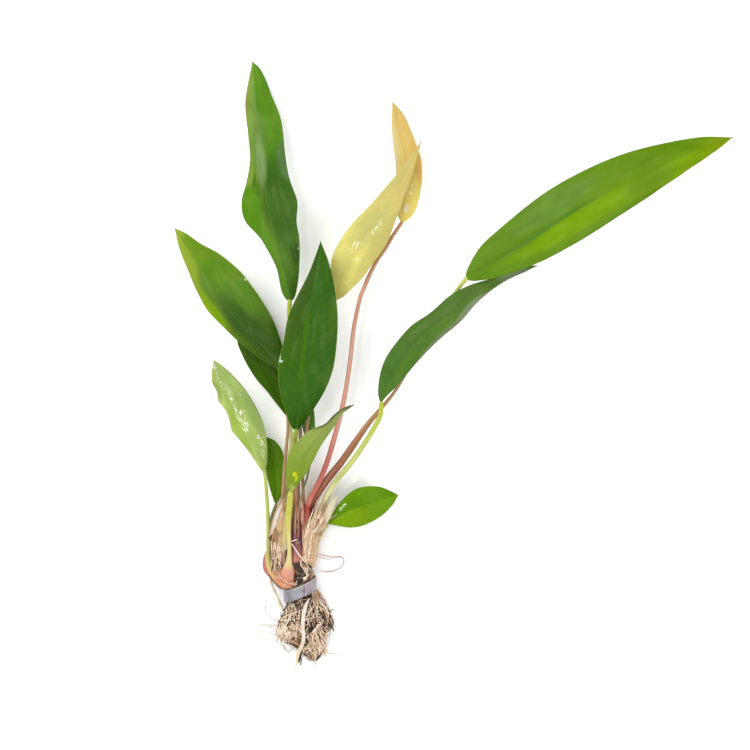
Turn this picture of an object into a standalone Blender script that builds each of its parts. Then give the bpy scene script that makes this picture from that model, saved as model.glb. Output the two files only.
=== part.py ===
"""A bare-rooted anubias with long narrow leaves, lying on a flat surface.

A strip of soft grey metal is wound round the neck of its roots as a weight. The surface is Z = 0, the
plant's leaves point to +Y and +X, and the origin is at the middle of the plant's box, on the surface.

A place over the surface is given by its column and row in a picture taken from straight above, 750 by
750 pixels, and by its height in millimetres. One pixel is PIXEL metres on the surface.
"""
import math

import bmesh
import bpy
from mathutils import Vector

MM = 0.001
PIXEL = 0.45 * MM
CENTRE_COLUMN = 452.5
CENTRE_ROW = 368.8

GAP = 0.3 * MM
BLADE_THICKNESS = 0.7 * MM
TIP_HALF_WIDTH = 0.45 * MM
BLADE_ARCH = 0.05
STRAIGHT_START = 1.2 * MM
STEM_SHORTENING = 0.05 * MM
BASE_EXTRA_RADIUS = 0.1
WELD_DISTANCE = 0.005 * MM
SHARP_ANGLE = math.radians(40)
STEM_SIDES = 6
BASE_SIDES = 7
ROOT_SIDES = 7
THIN_SIDES = 5

STRIP_CENTRE = (299, 588.2)
STRIP_HALF_WIDTH = 6.8 * MM
STRIP_HEIGHT = 14.6 * MM
STRIP_BAND = 5.4 * MM
STRIP_THICKNESS = 0.8 * MM
STRIP_OVERLAP = 1.2 * MM
STRIP_RISE = 0.43
STRIP_LEAN = 0.25
STRIP_FLAT = 6.0 * MM
STRIP_SEGMENTS = 36
STRIP_START = math.radians(18)
STRIP_TURN = math.radians(412)
STRIP_LIFT_START = math.radians(318)
STRIP_LIFT_LENGTH = math.radians(34)

GREEN = (0.10, 0.26, 0.04)
DARK_GREEN = (0.05, 0.16, 0.03)
LIGHT_GREEN = (0.28, 0.42, 0.08)
YELLOW = (0.66, 0.60, 0.20)
ORANGE = (0.70, 0.47, 0.17)
SALMON = (0.62, 0.25, 0.17)
BROWN_STEM = (0.45, 0.19, 0.08)
YELLOW_STEM = (0.50, 0.54, 0.16)
PEACH = (0.72, 0.42, 0.26)
CREAM = (0.78, 0.62, 0.40)
GREY_METAL = (0.38, 0.38, 0.41)

# Each leaf: its colours, the grid of its blade, and three lines from its base to its tip.
# "midrib" holds both ends; "left" and "right" are the margins between them, seen along the midrib.
# "stem" runs from the blade's base down to the crown, with its radius at the two ends in millimetres.
LEAVES = {
    "tall": {
        "color": GREEN,
        "stem_color": YELLOW_STEM,
        "rows": 14,
        "columns": 6,
        "midrib": [
            (290, 303, 18.8), (283.5, 272, 22), (275, 240, 25), (267, 200, 26), (262, 172, 24),
            (259, 150, 21), (257, 120, 15), (254, 80, 5), (252.5, 61.5, 0.6),
        ],
        "left": [
            (282.8, 293.5, 18.6), (276.6, 268, 20), (262.3, 241, 24), (246, 222, 28), (242.5, 203, 29),
            (247.4, 183, 26.5), (250.8, 160, 22), (248.5, 135, 16.5), (245.6, 104, 9.5), (249, 80, 4.5),
        ],
        "right": [
            (294.8, 298, 18.5), (297.6, 287, 18.4), (299.8, 265, 19), (299.8, 240, 21.5), (297, 222, 23), (297.5, 202, 23.5),
            (290, 180, 22.5), (285.6, 155, 20), (281.6, 122, 14.5), (273.5, 100, 9), (262, 72, 2.8),
        ],
        "stem": [
            (290, 303, 18.8), (289.7, 318, 18.2), (292.5, 345, 17), (295.5, 375, 15.5), (298, 405, 14),
            (300.5, 435, 11.5), (299.5, 455, 9.5), (298.5, 475, 7.8), (298, 505, 6.8),
        ],
        "stem_radius": (0.75, 1.2),
    },
    "left": {
        "color": GREEN,
        "stem_color": YELLOW_STEM,
        "rows": 12,
        "columns": 6,
        "midrib": [
            (285, 374, 14.5), (262, 345, 17), (245, 328, 18.5), (228, 308, 18), (212, 285, 15),
            (198, 262, 10), (185, 243, 4.5), (174.5, 228, 0.6),
        ],
        "left": [
            (279, 371, 14), (265, 362, 15.2), (245, 347, 16.5), (228, 331, 17), (209.4, 312.2, 15),
            (199.3, 295.2, 12.5), (189.2, 272.5, 8.5), (180.3, 250.5, 4),
        ],
        "right": [
            (286, 362, 15), (281.2, 341, 16), (272.6, 318, 18.5), (260, 297, 20), (250, 283, 20),
            (240, 271, 18.5), (220.6, 254.8, 13.5), (200.5, 243.6, 7.5), (186, 233.5, 3),
        ],
        "stem": [
            (285, 374, 14.5), (286.5, 400, 13.5), (288.3, 425, 12.8), (286.8, 445, 12.3),
            (285, 465, 11.8), (282.5, 505, 11),
        ],
        "stem_radius": (0.7, 1.3),
    },
    "front": {
        "color": DARK_GREEN,
        "stem_color": LIGHT_GREEN,
        "rows": 12,
        "columns": 6,
        "midrib": [
            (296, 432, 18.5), (299, 400, 23), (302, 360, 26.5), (307, 320, 28.5), (313, 285, 28.5),
            (318, 260, 27), (321, 242, 24.5),
        ],
        "left": [
            (290, 423, 18.7), (284, 405, 21), (279.5, 385, 23), (279, 365, 24.5), (284, 342, 26.5),
            (288, 320, 28), (296, 300, 29), (307.3, 278, 29), (315, 259, 27.5),
        ],
        "right": [
            (305, 422, 18.8), (314, 409, 20), (325, 391, 22), (333, 370, 24), (337, 345, 26),
            (338, 318, 27.5), (335.6, 292, 28), (330, 266, 27),
        ],
        "stem": [
            (296, 432, 18.5), (295, 445, 17.3), (294.5, 460, 15.8), (295, 480, 14), (295, 505, 12.5),
        ],
        "stem_radius": (0.8, 1.2),
    },
    "hidden_left": {
        "color": DARK_GREEN,
        "stem_color": YELLOW_STEM,
        "rows": 8,
        "columns": 4,
        "midrib": [
            (289.5, 420, 9), (280, 398, 10), (268, 375, 10.5), (255, 352, 10), (246, 336, 9),
            (240, 324, 8),
        ],
        "left": [
            (284, 413, 9.2), (276, 403, 9.8), (267, 391, 10.3), (257.2, 380, 10.3), (250, 369, 10),
            (243, 356, 9.3), (237.5, 341, 8.5),
        ],
        "right": [
            (290, 405, 9.8), (286, 388, 10.3), (280, 370, 10.8), (268, 352, 10.6), (256, 338, 10),
        ],
        "stem": [
            (289.5, 420, 9), (291, 432, 9), (291, 445, 9), (289, 462, 8.8), (287.5, 480, 8.4),
            (286, 505, 7),
        ],
        "stem_radius": (0.7, 1.2),
    },
    "hidden_middle": {
        "color": DARK_GREEN,
        "stem_color": LIGHT_GREEN,
        "rows": 8,
        "columns": 4,
        "midrib": [
            (310, 446, 9), (309, 430, 9.5), (308, 410, 10.5), (306, 390, 11), (304, 370, 10),
        ],
        "left": [
            (305, 436, 9), (302, 424, 9.5), (300, 405, 10.5), (301, 388, 11),
        ],
        "right": [
            (314.5, 434, 9), (315.2, 424, 9.5), (314, 409, 10.5), (310, 388, 11),
        ],
        "stem": [
            (310, 446, 9), (309.8, 455, 10), (309.6, 466, 11.3), (307, 478, 12.6), (303.2, 490, 13.5),
            (299.5, 505, 14.2),
        ],
        "stem_radius": (0.6, 0.8),
    },
    "pale_underside": {
        "color": LIGHT_GREEN,
        "stem_color": YELLOW_STEM,
        "rows": 12,
        "columns": 6,
        "midrib": [
            (264.5, 472, 9), (257, 455, 12), (250, 440, 14), (243, 425, 15), (236, 410, 15),
            (229, 397, 13.5), (222, 383, 10), (216, 370, 5), (213.8, 360, 0.6),
        ],
        "left": [
            (261.5, 470, 9.3), (251.8, 455, 11.5), (239.4, 439, 13.5), (232.3, 430.3, 14), (229.8, 420, 14.4),
            (226, 410, 14.5), (219.4, 401.5, 14), (217.2, 391.5, 12.8), (212.8, 383.3, 10.5), (211.8, 373, 6.5),
        ],
        "right": [
            (266.8, 466, 9.8), (267.8, 450, 12), (264.6, 426.6, 14.5), (257.4, 408.6, 16), (246.5, 390.5, 15.5),
            (234, 376, 12), (223, 366, 6),
        ],
        "stem": [
            (264.5, 472, 9), (265.7, 480, 9), (267.1, 500, 9), (268.3, 520, 9), (268.5, 535, 9),
            (268.7, 549, 9),
        ],
        "stem_radius": (0.7, 1.0),
    },
    "small_dark": {
        "color": DARK_GREEN,
        "stem_color": LIGHT_GREEN,
        "rows": 8,
        "columns": 4,
        "midrib": [
            (276, 505, 4.5), (276, 490, 4.8), (275, 470, 5), (272, 452, 5), (267, 437, 4.6),
        ],
        "left": [
            (273, 498, 4.7), (269, 485, 5), (266, 470, 5.2), (264.5, 452, 5.2),
        ],
        "right": [
            (281, 497, 4.7), (286, 485, 5), (286.5, 470, 5.2), (282.3, 451.3, 5.2), (275.3, 441, 4.9),
        ],
        "stem": [
            (276, 505, 4.5), (273, 513, 4.5), (271, 521, 4.8),
        ],
        "stem_radius": (0.6, 0.8),
    },
    "pale_centre": {
        "color": LIGHT_GREEN,
        "stem_color": YELLOW_STEM,
        "rows": 12,
        "columns": 6,
        "midrib": [
            (291, 493, 17), (296, 475, 21), (303, 457, 24.5), (313, 441, 27), (323, 430, 28),
            (333, 419, 27.5), (344, 410.5, 26.5), (354, 404.5, 25.5),
        ],
        "left": [
            (287, 480, 19), (286.5, 468, 21.5), (290, 452, 24), (296, 443, 26), (310, 430, 28.5),
            (325, 424, 29.5), (333.5, 415.3, 29), (344.5, 407.3, 28),
        ],
        "right": [
            (299.5, 483, 18.5), (308, 471, 21.5), (315, 457.8, 24), (320.7, 446.2, 25.5), (328.5, 434.7, 26.5),
            (335.2, 425.4, 26.5), (341, 415.2, 26.3), (348, 409, 25.8),
        ],
        "stem": [
            (291, 493, 17), (290.3, 499, 16.6), (289.8, 505, 16.2),
        ],
        "stem_radius": (1.2, 1.5),
    },
    "yellow": {
        "color": YELLOW,
        "stem_color": ORANGE,
        "rows": 12,
        "columns": 6,
        "midrib": [
            (334, 302, 15.5), (341, 281, 18.5), (353, 256, 22), (368, 235, 24), (384, 210, 23.5),
            (397, 187, 20.5), (408, 168, 16.5), (421, 142, 12),
        ],
        "left": [
            (330, 288, 17.5), (331, 272, 19.5), (332, 260, 21), (337, 247, 23), (351, 226, 25),
            (372, 204, 24.5), (390, 183, 21.5), (403, 167, 17.5), (415, 151, 13.8),
        ],
        "right": [
            (344, 296.6, 17), (352.3, 288.8, 19), (363.5, 277.5, 21), (370, 268, 21.8), (386, 245.5, 22.3),
            (394.3, 224.5, 21.8), (403, 201, 20.5), (410, 183, 18.8), (417, 158, 14.5),
        ],
        "stem": [
            (334, 302, 15.5), (326, 330, 15), (318, 365, 14.5), (311, 400, 14), (308, 420, 13.5),
            (305, 445, 12), (303, 470, 11), (303.3, 490, 10.2), (304, 505, 9.7),
        ],
        "stem_radius": (0.8, 1.0),
    },
    "orange": {
        "color": ORANGE,
        "stem_color": SALMON,
        "rows": 12,
        "columns": 6,
        "midrib": [
            (401, 224, 16), (404, 205, 15.3), (407, 185, 13.7), (406, 165, 11.2), (403, 148, 8.7),
            (398, 130, 5.6), (395, 115, 2.8), (392.5, 102, 0.6),
        ],
        "left": [
            (397, 214, 15.6), (394.5, 196, 14.5), (395.6, 178, 12.8), (395.6, 165, 11), (393.7, 150, 8.8),
            (392.2, 135, 6.3), (391.6, 118, 3.3),
        ],
        "right": [
            (407, 221, 15.8), (414.6, 212.5, 15.2), (419.3, 197.5, 14.2), (421.8, 178, 12.5), (420.8, 160, 10.2),
            (416, 145, 7.9), (409.6, 128.6, 5.2), (402.8, 113.5, 2.7),
        ],
        "stem": [
            (401, 224, 16), (393, 236, 16.5), (386, 248, 17), (379, 258, 17), (374, 266.5, 16.8),
            (369.2, 276, 16.6), (364.2, 288, 16.5), (359.8, 300, 16.4), (354, 328, 16), (350.4, 360, 15.5),
            (344, 400, 15),
            (333.8, 440, 14.6), (324.2, 470, 13.8), (312.5, 494, 13), (307.5, 506, 12.5),
        ],
        "stem_radius": (0.8, 1.0, 1.2, 1.6, 1.5),
    },
    "long_right": {
        "color": GREEN,
        "stem_color": BROWN_STEM,
        "rows": 14,
        "columns": 6,
        "midrib": [
            (465, 280, 16.5), (500, 257, 22), (530, 237.5, 26), (570, 211, 28), (600, 194, 27),
            (640, 174, 22.5), (680, 157, 14.5), (710, 145.5, 6.5), (732.6, 137.4, 0.6),
        ],
        "left": [
            (467, 269.5, 18), (479.2, 248.3, 22), (499.2, 229.3, 26.5), (540, 196.6, 31), (580, 173.3, 31),
            (620, 156, 26.5), (660, 145, 19.5), (700, 137.7, 9.5),
        ],
        "right": [
            (478, 282, 17), (500, 277.3, 19.5), (540, 262.2, 22.5), (580, 240.8, 23.5), (620, 215.4, 21.5),
            (660, 189, 16.5), (695, 165.2, 9.5), (718, 149.3, 4),
        ],
        "stem": [
            (465, 280, 16.5), (455, 293, 16), (440, 317, 15.2), (425, 343, 14.3), (410, 368, 13.3),
            (395.7, 392.5, 12.5), (379.2, 411.3, 11.5), (365, 428, 10.9), (342.8, 460, 9.4), (326.8, 480, 8.3),
            (314.8, 497.5, 7.3), (310.6, 507, 7),
        ],
        "stem_radius": (1.0, 0.95, 1.0, 2.0, 1.8),
    },
    "folded_right": {
        "color": DARK_GREEN,
        "stem_color": YELLOW_STEM,
        "rows": 14,
        "columns": 6,
        "midrib": [
            (381, 405, 16.5), (388, 380, 19.5), (402, 360, 22), (422, 336, 23.5), (441, 320, 22.5),
            (460, 304, 19.5), (477, 291, 15), (500, 280, 9), (520, 271.5, 4), (537, 266, 0.9),
        ],
        "left": [
            (378, 392, 18), (381, 370, 21), (390, 351, 23.5), (410, 327, 25), (430, 313, 24.5),
            (449.5, 296, 22), (469, 283, 17), (490, 278, 11.5), (511, 272, 6.5), (528, 266, 3),
        ],
        "right": [
            (385.5, 397.5, 17.5), (399.3, 383.3, 20), (420, 359, 22), (440, 339, 22.5), (460, 322, 20.5),
            (474, 306, 16.5), (488, 293, 12), (506, 281, 7), (525, 272, 2.8),
        ],
        "stem": [
            (381, 405, 16.5), (380.4, 415, 16.2), (374.6, 427, 15.5), (366.8, 440, 14.7), (353.2, 460, 13.2),
            (344.2, 471, 12.2), (336, 481, 11.2), (328.6, 493, 10.2), (322, 508, 9.2),
        ],
        "stem_radius": (1.1, 1.4),
    },
    "small_right": {
        "color": LIGHT_GREEN,
        "stem_color": LIGHT_GREEN,
        "rows": 8,
        "columns": 4,
        "midrib": [
            (327, 523.5, 7), (345, 512.5, 8.5), (365, 505, 8.5), (385, 499, 5), (398.5, 495, 0.8),
        ],
        "left": [
            (331, 517, 7.5), (337.5, 505.5, 9), (349, 493, 10), (361, 487, 10), (378, 486.3, 7.5),
            (390.3, 490.8, 3.5),
        ],
        "right": [
            (336, 525, 7.5), (350, 527.2, 8), (364.5, 524.8, 8), (381, 516, 5.5), (391.5, 506, 2.8),
        ],
        "stem": [
            (327, 523.5, 7), (324, 528, 6.2), (321.3, 532, 5.2),
        ],
        "stem_radius": (1.0, 1.25),
    },
}

# The crown is the short rhizome with the sheathing stem bases grown on it: places with a radius in mm.
RHIZOME = [
    (292, 522, 9.6, 3.2), (291, 540, 9.3, 6.3), (290, 560, 9, 8.5), (291, 570, 8.9, 8.2),
    (293.5, 579, 8.7, 6.3),
]
STEM_BASES = {
    "pale_underside": [
        (268.8, 556, 9.4, 1.6), (271, 567, 10, 2.1), (276.7, 577.5, 10, 2.4), (285, 585, 9.4, 2.3),
    ],
    "small_dark": [(271, 540, 6, 1.8), (273, 560, 7, 2.5), (280, 573, 8, 3)],
    "left": [(281, 530, 11, 2.2), (279.5, 550, 11, 2.8), (281, 571, 10, 3.2)],
    "hidden_left": [(284, 530, 7, 2.4), (282, 555, 7, 3), (285, 573, 8, 3.2)],
    "pale_centre": [
        (288.8, 520, 16, 1.4), (289, 532, 15.8, 1.1), (289.7, 552, 15.2, 1), (289, 562, 14.4, 1.5), (288.2, 571, 13.2, 3.3),
        (287.5, 582, 10.8, 2.9),
    ],
    "front": [(296, 525, 12.5, 2.6), (297, 545, 12, 3), (296, 564, 11, 3)],
    "hidden_middle": [(298, 520, 14.2, 1.4), (297, 540, 13.5, 2)],
    "tall": [(297, 530, 7, 2.6), (295, 555, 8, 3.2), (293, 572, 9, 3)],
    "yellow": [(303, 525, 10, 2.2), (302, 550, 10, 3), (300, 569, 10, 3)],
    "orange": [(306, 525, 12, 2.2), (306, 550, 11, 3), (304, 568, 10, 2.8)],
    "long_right": [(310, 525, 7, 2.4), (308, 550, 7, 3.2), (306, 567, 8, 2.6)],
    "folded_right": [(317, 525, 8.2, 1.6), (312.3, 545, 8, 2.2), (310.3, 569, 8.4, 2.3)],
    "small_right": [(316.7, 543, 5.2, 1.3), (312, 560, 7, 2.2)],
}
SIDE_BUD = [(266.3, 552, 7, 0.9), (265.3, 560, 8, 1.7), (267, 569, 8.5, 2.2), (276, 578, 8.7, 2.4)]

# The mass of tangled roots: places with half its width and half its height there, in millimetres.
ROOT_MASS = [
    (298.6, 584, 7.3, 4.7, 5), (298.8, 589, 7.3, 4.9, 5.1), (299.8, 594.3, 7.3, 5, 5.2),
    (303, 599, 7.3, 6.9, 5.4), (306.3, 603, 7.3, 8.8, 5.8), (306.8, 608.5, 7.4, 10.3, 6.5),
    (306.6, 614, 7.6, 11.3, 7.1), (306, 622, 7.4, 12.6, 6.9), (302.6, 632, 6.8, 12.4, 6.3),
    (304.7, 641, 5.9, 9.6, 5.5), (312.5, 649, 4.7, 6.1, 4.2), (313.5, 655.5, 3.3, 4, 2.8),
    (313, 660.5, 2.1, 1.8, 1.5),
]
ROOT_LUMPS = 0.044
ROOT_MIDDLE = (306, 625, 7)
ROOT_LUMPS_START_ROW = 603
ROOT_LUMPS_GROW_OVER = 4 * MM
ROOT_LOWEST = 0.15 * MM
ROOT_CUT_SPARE = 1.4 * GAP

# Roots that stand out from the mass: places with a radius in millimetres.
THICK_ROOTS = {
    "root_left": [
        (269, 572, 5, 0.5), (271, 581, 5, 0.66), (274.6, 591, 5.1, 0.66), (278.4, 600, 5.4, 0.7),
        (281.2, 607, 6, 0.75), (287, 612, 6.6, 0.55),
    ],
    "root_front": [
        (309.8, 597.5, 13.2, 0.8), (306.3, 604.5, 14.1, 1.0), (304, 613, 14.8, 1.05), (303.2, 624, 14.4, 1.05),
        (303.9, 636, 12.5, 1.05), (302, 644.5, 9.6, 1.05), (299.6, 651, 6.4, 1.0), (298.2, 657, 3.6, 1.25),
        (297.2, 663.5, 1.7, 1.0), (295.2, 669.5, 0.6, 0.45),
    ],
    "root_right": [
        (331.5, 612, 8.6, 0.5), (325.5, 618, 11.4, 0.62), (318.5, 625.5, 13.4, 0.62), (312, 632.5, 13.3, 0.5),
    ],
}
THIN_ROOTS = {
    "wisp_left_high": [(267, 600, 0.5), (265.5, 611, 0.5), (271, 617, 0.9), (278, 621, 2), (286, 622, 4)],
    "wisp_left_loop": [
        (260.5, 624.5, 0.5), (255, 628, 0.5), (253.5, 632, 0.5), (260, 634.5, 0.6), (269, 633, 1.2),
        (278, 630, 2.5), (287, 628, 4),
    ],
    "wisp_low_left": [(291, 654, 0.5), (285, 650, 0.6), (280.5, 643.5, 1), (282, 638, 2), (289, 634, 4)],
    "wisp_low_right": [(343.5, 655, 0.5), (336, 654, 0.5), (328, 653, 0.9), (319, 650, 2.5)],
    "wisp_bottom": [(308, 676, 0.5), (313, 671.5, 0.5), (314.5, 666, 0.7), (313, 659, 1.6)],
}
LOOP_ROOT = [
    (316.8, 553.5, 5, 0.3), (330, 556.5, 3, 0.3), (340, 556.5, 1.2, 0.3), (343.8, 561, 0.5, 0.3),
    (341, 567, 0.5, 0.3), (335, 570.5, 0.5, 0.3), (328, 571.8, 0.9, 0.3), (321, 571, 1.6, 0.3),
]
THIN_ROOT_RADIUS = 0.35


def clear_scene():
    """Take away whatever the scene holds."""
    for thing in list(bpy.data.objects):
        bpy.data.objects.remove(thing, do_unlink=True)


def place(column, row, height):
    """A point over the surface, in metres, from a column and a row in pixels and a height in millimetres."""
    return Vector(((column - CENTRE_COLUMN) * PIXEL, (CENTRE_ROW - row) * PIXEL, height * MM))


def plain_material(name, color, roughness=0.45, metallic=0.0):
    """One Principled material of a single colour."""
    material = bpy.data.materials.get(name)
    if material:
        return material
    material = bpy.data.materials.new(name)
    material.use_nodes = True
    shader = material.node_tree.nodes["Principled BSDF"]
    shader.inputs["Base Color"].default_value = (*color, 1.0)
    shader.inputs["Roughness"].default_value = roughness
    shader.inputs["Metallic"].default_value = metallic
    return material


def smooth_line(points, count):
    """Points on a smooth curve through the given ones, count + 1 of them at even distances."""
    padded = [2 * points[0] - points[1]] + list(points) + [2 * points[-1] - points[-2]]
    fine = []
    steps = 12
    for index in range(1, len(padded) - 2):
        before, start, end, after = padded[index - 1:index + 3]
        for step in range(steps):
            t = step / steps
            fine.append(0.5 * (
                2 * start
                + (end - before) * t
                + (2 * before - 5 * start + 4 * end - after) * t ** 2
                + (3 * start - before - 3 * end + after) * t ** 3
            ))
    fine.append(padded[-2])
    lengths = [0.0]
    for first, second in zip(fine, fine[1:]):
        lengths.append(lengths[-1] + (second - first).length)
    line = []
    index = 0
    for number in range(count + 1):
        distance = lengths[-1] * number / count
        while index < len(fine) - 2 and lengths[index + 1] < distance:
            index += 1
        share = (distance - lengths[index]) / (lengths[index + 1] - lengths[index])
        line.append(fine[index].lerp(fine[index + 1], min(max(share, 0.0), 1.0)))
    return line


def new_object(name, mesh, material):
    """An object with its mesh and material, in the scene."""
    thing = bpy.data.objects.new(name, mesh)
    mesh.materials.clear()
    mesh.materials.append(material)
    bpy.context.collection.objects.link(thing)
    return thing


def mesh_of_bmesh(name, shape):
    """A smooth-shaded mesh from a bmesh, with its faces pointing out."""
    bmesh.ops.recalc_face_normals(shape, faces=shape.faces)
    mesh = bpy.data.meshes.new(name)
    shape.to_mesh(mesh)
    shape.free()
    mesh.shade_smooth()
    mesh.set_sharp_from_angle(angle=SHARP_ANGLE)
    return mesh


def tube_mesh(name, line, radii, sides, low=None):
    """A closed round tube along a line of points; low is the height that nothing of it goes under."""
    shape = bmesh.new()
    rings = []
    for index, centre in enumerate(line):
        along = line[min(index + 1, len(line) - 1)] - line[max(index - 1, 0)]
        along.normalize()
        level = along.cross(Vector((0, 0, 1))).normalized()
        upright = level.cross(along).normalized()
        radius = radii[index]
        wide, tall = radius if isinstance(radius, tuple) else (radius, radius)
        ring = []
        for side in range(sides):
            turn = 2 * math.pi * side / sides
            point = centre + level * math.cos(turn) * wide + upright * math.sin(turn) * tall
            if low is not None:
                point.z = max(point.z, low)
            ring.append(shape.verts.new(point))
        rings.append(ring)
    for first, second in zip(rings, rings[1:]):
        for side in range(sides):
            following = (side + 1) % sides
            shape.faces.new((first[side], first[following], second[following], second[side]))
    shape.faces.new(list(reversed(rings[0])))
    shape.faces.new(rings[-1])
    return mesh_of_bmesh(name, shape)


def values_along(points, values, count):
    """Values known at the points of a line, read at count + 1 even distances along it."""
    lengths = [0.0]
    for first, second in zip(points, points[1:]):
        lengths.append(lengths[-1] + (second - first).length)
    read = []
    index = 0
    for number in range(count + 1):
        distance = lengths[-1] * number / count
        while index < len(values) - 2 and lengths[index + 1] < distance:
            index += 1
        share = (distance - lengths[index]) / (lengths[index + 1] - lengths[index])
        read.append(values[index] + (values[index + 1] - values[index]) * min(max(share, 0.0), 1.0))
    return read


def tube_through(name, stations, count, sides, material, spare=0.0):
    """A tube through stations of (column, row, height, radius in mm); spare is added to its radius."""
    points = [place(*station[:3]) for station in stations]
    radii = values_along(points, [station[3] * MM + spare for station in stations], count)
    return new_object(name, tube_mesh(name, smooth_line(points, count), radii, sides), material)


def evaluated_mesh(thing):
    """The object's mesh with its modifiers worked in."""
    graph = bpy.context.evaluated_depsgraph_get()
    return bpy.data.meshes.new_from_object(thing.evaluated_get(graph))


def combine(target, others, operation):
    """Join other solids to the target, or cut them out of it, and take them away."""
    for other in others:
        modifier = target.modifiers.new(other.name, "BOOLEAN")
        modifier.operation = operation
        modifier.solver = "EXACT"
        modifier.object = other
        other.hide_render = True
        other.display_type = "WIRE"
    bpy.context.view_layer.update()
    mesh = evaluated_mesh(target)
    target.modifiers.clear()
    target.data = mesh
    for other in others:
        bpy.data.objects.remove(other, do_unlink=True)


def outer_shell(shape):
    """The faces of the shell with the most of them; the others are pockets left between joined solids."""
    waiting = set(shape.faces)
    shells = []
    while waiting:
        shell = set()
        border = [waiting.pop()]
        while border:
            face = border.pop()
            shell.add(face)
            for edge in face.edges:
                for neighbour in edge.link_faces:
                    if neighbour in waiting:
                        waiting.remove(neighbour)
                        border.append(neighbour)
        shells.append(shell)
    return max(shells, key=len)


def clean_solid(thing):
    """Join the points that a cut leaves on top of each other, fill inner pockets, and shade it smooth."""
    shape = bmesh.new()
    shape.from_mesh(thing.data)
    bmesh.ops.remove_doubles(shape, verts=shape.verts, dist=WELD_DISTANCE)
    shell = outer_shell(shape)
    bmesh.ops.delete(shape, geom=[face for face in shape.faces if face not in shell], context="FACES")
    shape.to_mesh(thing.data)
    shape.free()
    thing.data.shade_smooth()
    thing.data.set_sharp_from_angle(angle=SHARP_ANGLE)


def blade(name, leaf):
    """A leaf's blade: a sheet between its margins and midrib, given its thickness by Solidify."""
    rows = leaf["rows"]
    half = leaf["columns"] // 2
    base = leaf["midrib"][0]
    tip = leaf["midrib"][-1]
    midrib = smooth_line([place(*point) for point in leaf["midrib"]], rows)
    margins = []
    for side in ("left", "right"):
        margins.append(smooth_line([place(*point) for point in [base, *leaf[side], tip]], rows))
    shape = bmesh.new()
    grid = []
    for row, centre in enumerate(midrib):
        along = midrib[min(row + 1, rows)] - midrib[max(row - 1, 0)]
        leftward = Vector((0, 0, 1)).cross(along).normalized()
        line = []
        for column in range(-half, half + 1):
            share = abs(column) / half
            out = margins[0 if column < 0 else 1][row] - centre
            if out.length < TIP_HALF_WIDTH:
                out = leftward * (TIP_HALF_WIDTH if column < 0 else -TIP_HALF_WIDTH)
            rise = BLADE_ARCH * out.length * math.sin(math.pi * share)
            line.append(shape.verts.new(centre + out * share + Vector((0, 0, rise))))
        grid.append(line)
    for first, second in zip(grid, grid[1:]):
        for column in range(2 * half):
            shape.faces.new((first[column], first[column + 1], second[column + 1], second[column]))
    mesh = mesh_of_bmesh(name, shape)
    if mesh.polygons[len(mesh.polygons) // 2].normal.z < 0:
        mesh.flip_normals()
    thing = new_object(name, mesh, plain_material(name + "_green", leaf["color"]))
    thickness = thing.modifiers.new("thickness", "SOLIDIFY")
    thickness.thickness = BLADE_THICKNESS
    thickness.offset = 0
    return thing


def stem_line(leaf):
    """The middle line of a leaf's stem, from a gap below the blade's base to the crown."""
    points = [place(*point) for point in leaf["stem"]]
    points[0] += (points[1] - points[0]).normalized() * (GAP + STEM_SHORTENING)
    return smooth_line(points, max(3, min(12, len(points) + 1)))


def spread(values, count):
    """As many numbers as asked, read at even steps between a few."""
    numbers = []
    for number in range(count):
        reached = number / (count - 1) * (len(values) - 1)
        before = min(int(reached), len(values) - 2)
        share = reached - before
        numbers.append(values[before] * (1 - share) + values[before + 1] * share)
    return numbers


def stem(name, leaf):
    """A leaf's stem, a tube that widens towards the crown."""
    line = stem_line(leaf)
    radii = [radius * MM for radius in spread(leaf["stem_radius"], len(line))]
    skin = plain_material(name + "_skin", leaf["stem_color"])
    return new_object(name, tube_mesh(name, line, radii, STEM_SIDES), skin)


def stem_base(name, leaf, stations, material):
    """The sheathing base of one stem, grown on the crown: it starts a gap past the stem's end."""
    before, end = stem_line(leaf)[-2:]
    onward = (end - before).normalized()
    start_radius = (leaf["stem_radius"][-1] + BASE_EXTRA_RADIUS) * MM
    points = [end + onward * (GAP + STRAIGHT_START)] + [place(*station[:3]) for station in stations]
    count = 2 * len(stations)
    radii = values_along(points, [start_radius] + [station[3] * MM for station in stations], count)
    line = [end + onward * GAP] + smooth_line(points, count)
    return new_object(name, tube_mesh(name, line, [start_radius] + radii, BASE_SIDES), material)


def crown():
    """The rhizome with all the stem bases and the side bud, joined into one solid."""
    material = plain_material("crown_skin", PEACH, 0.5)
    body = tube_through("crown", RHIZOME, 8, 14, material)
    grown = []
    for name, stations in STEM_BASES.items():
        grown.append(stem_base("base_" + name, LEAVES[name], stations, material))
    grown.append(tube_through("side_bud", SIDE_BUD, 6, 8, material))
    combine(body, grown, "UNION")
    clean_solid(body)
    return body


def root_mass():
    """The tangle of roots, a lumpy solid that starts inside the weight strip, with the thin roots on it."""
    material = plain_material("root_skin", CREAM, 0.8)
    count = 16
    sides = 16
    points = [place(*station[:3]) for station in ROOT_MASS]
    widths = values_along(points, [station[3] * MM for station in ROOT_MASS], count)
    heights = values_along(points, [station[4] * MM for station in ROOT_MASS], count)
    line = smooth_line(points, count)
    mesh = tube_mesh("root_mass", line, list(zip(widths, heights)), sides, low=ROOT_LOWEST)
    body = new_object("root_mass", mesh, material)
    lump(body)
    grown = []
    for name, stations in THIN_ROOTS.items():
        with_radius = [(*station, THIN_ROOT_RADIUS) for station in stations]
        grown.append(tube_through(name, with_radius, 8, THIN_SIDES, material))
    combine(body, grown, "UNION")
    cutters = []
    for name, stations in THICK_ROOTS.items():
        cutters.append(tube_through("cut_" + name, stations, 10, ROOT_SIDES, material, spare=ROOT_CUT_SPARE))
    combine(body, cutters, "DIFFERENCE")
    clean_solid(body)
    return body


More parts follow.
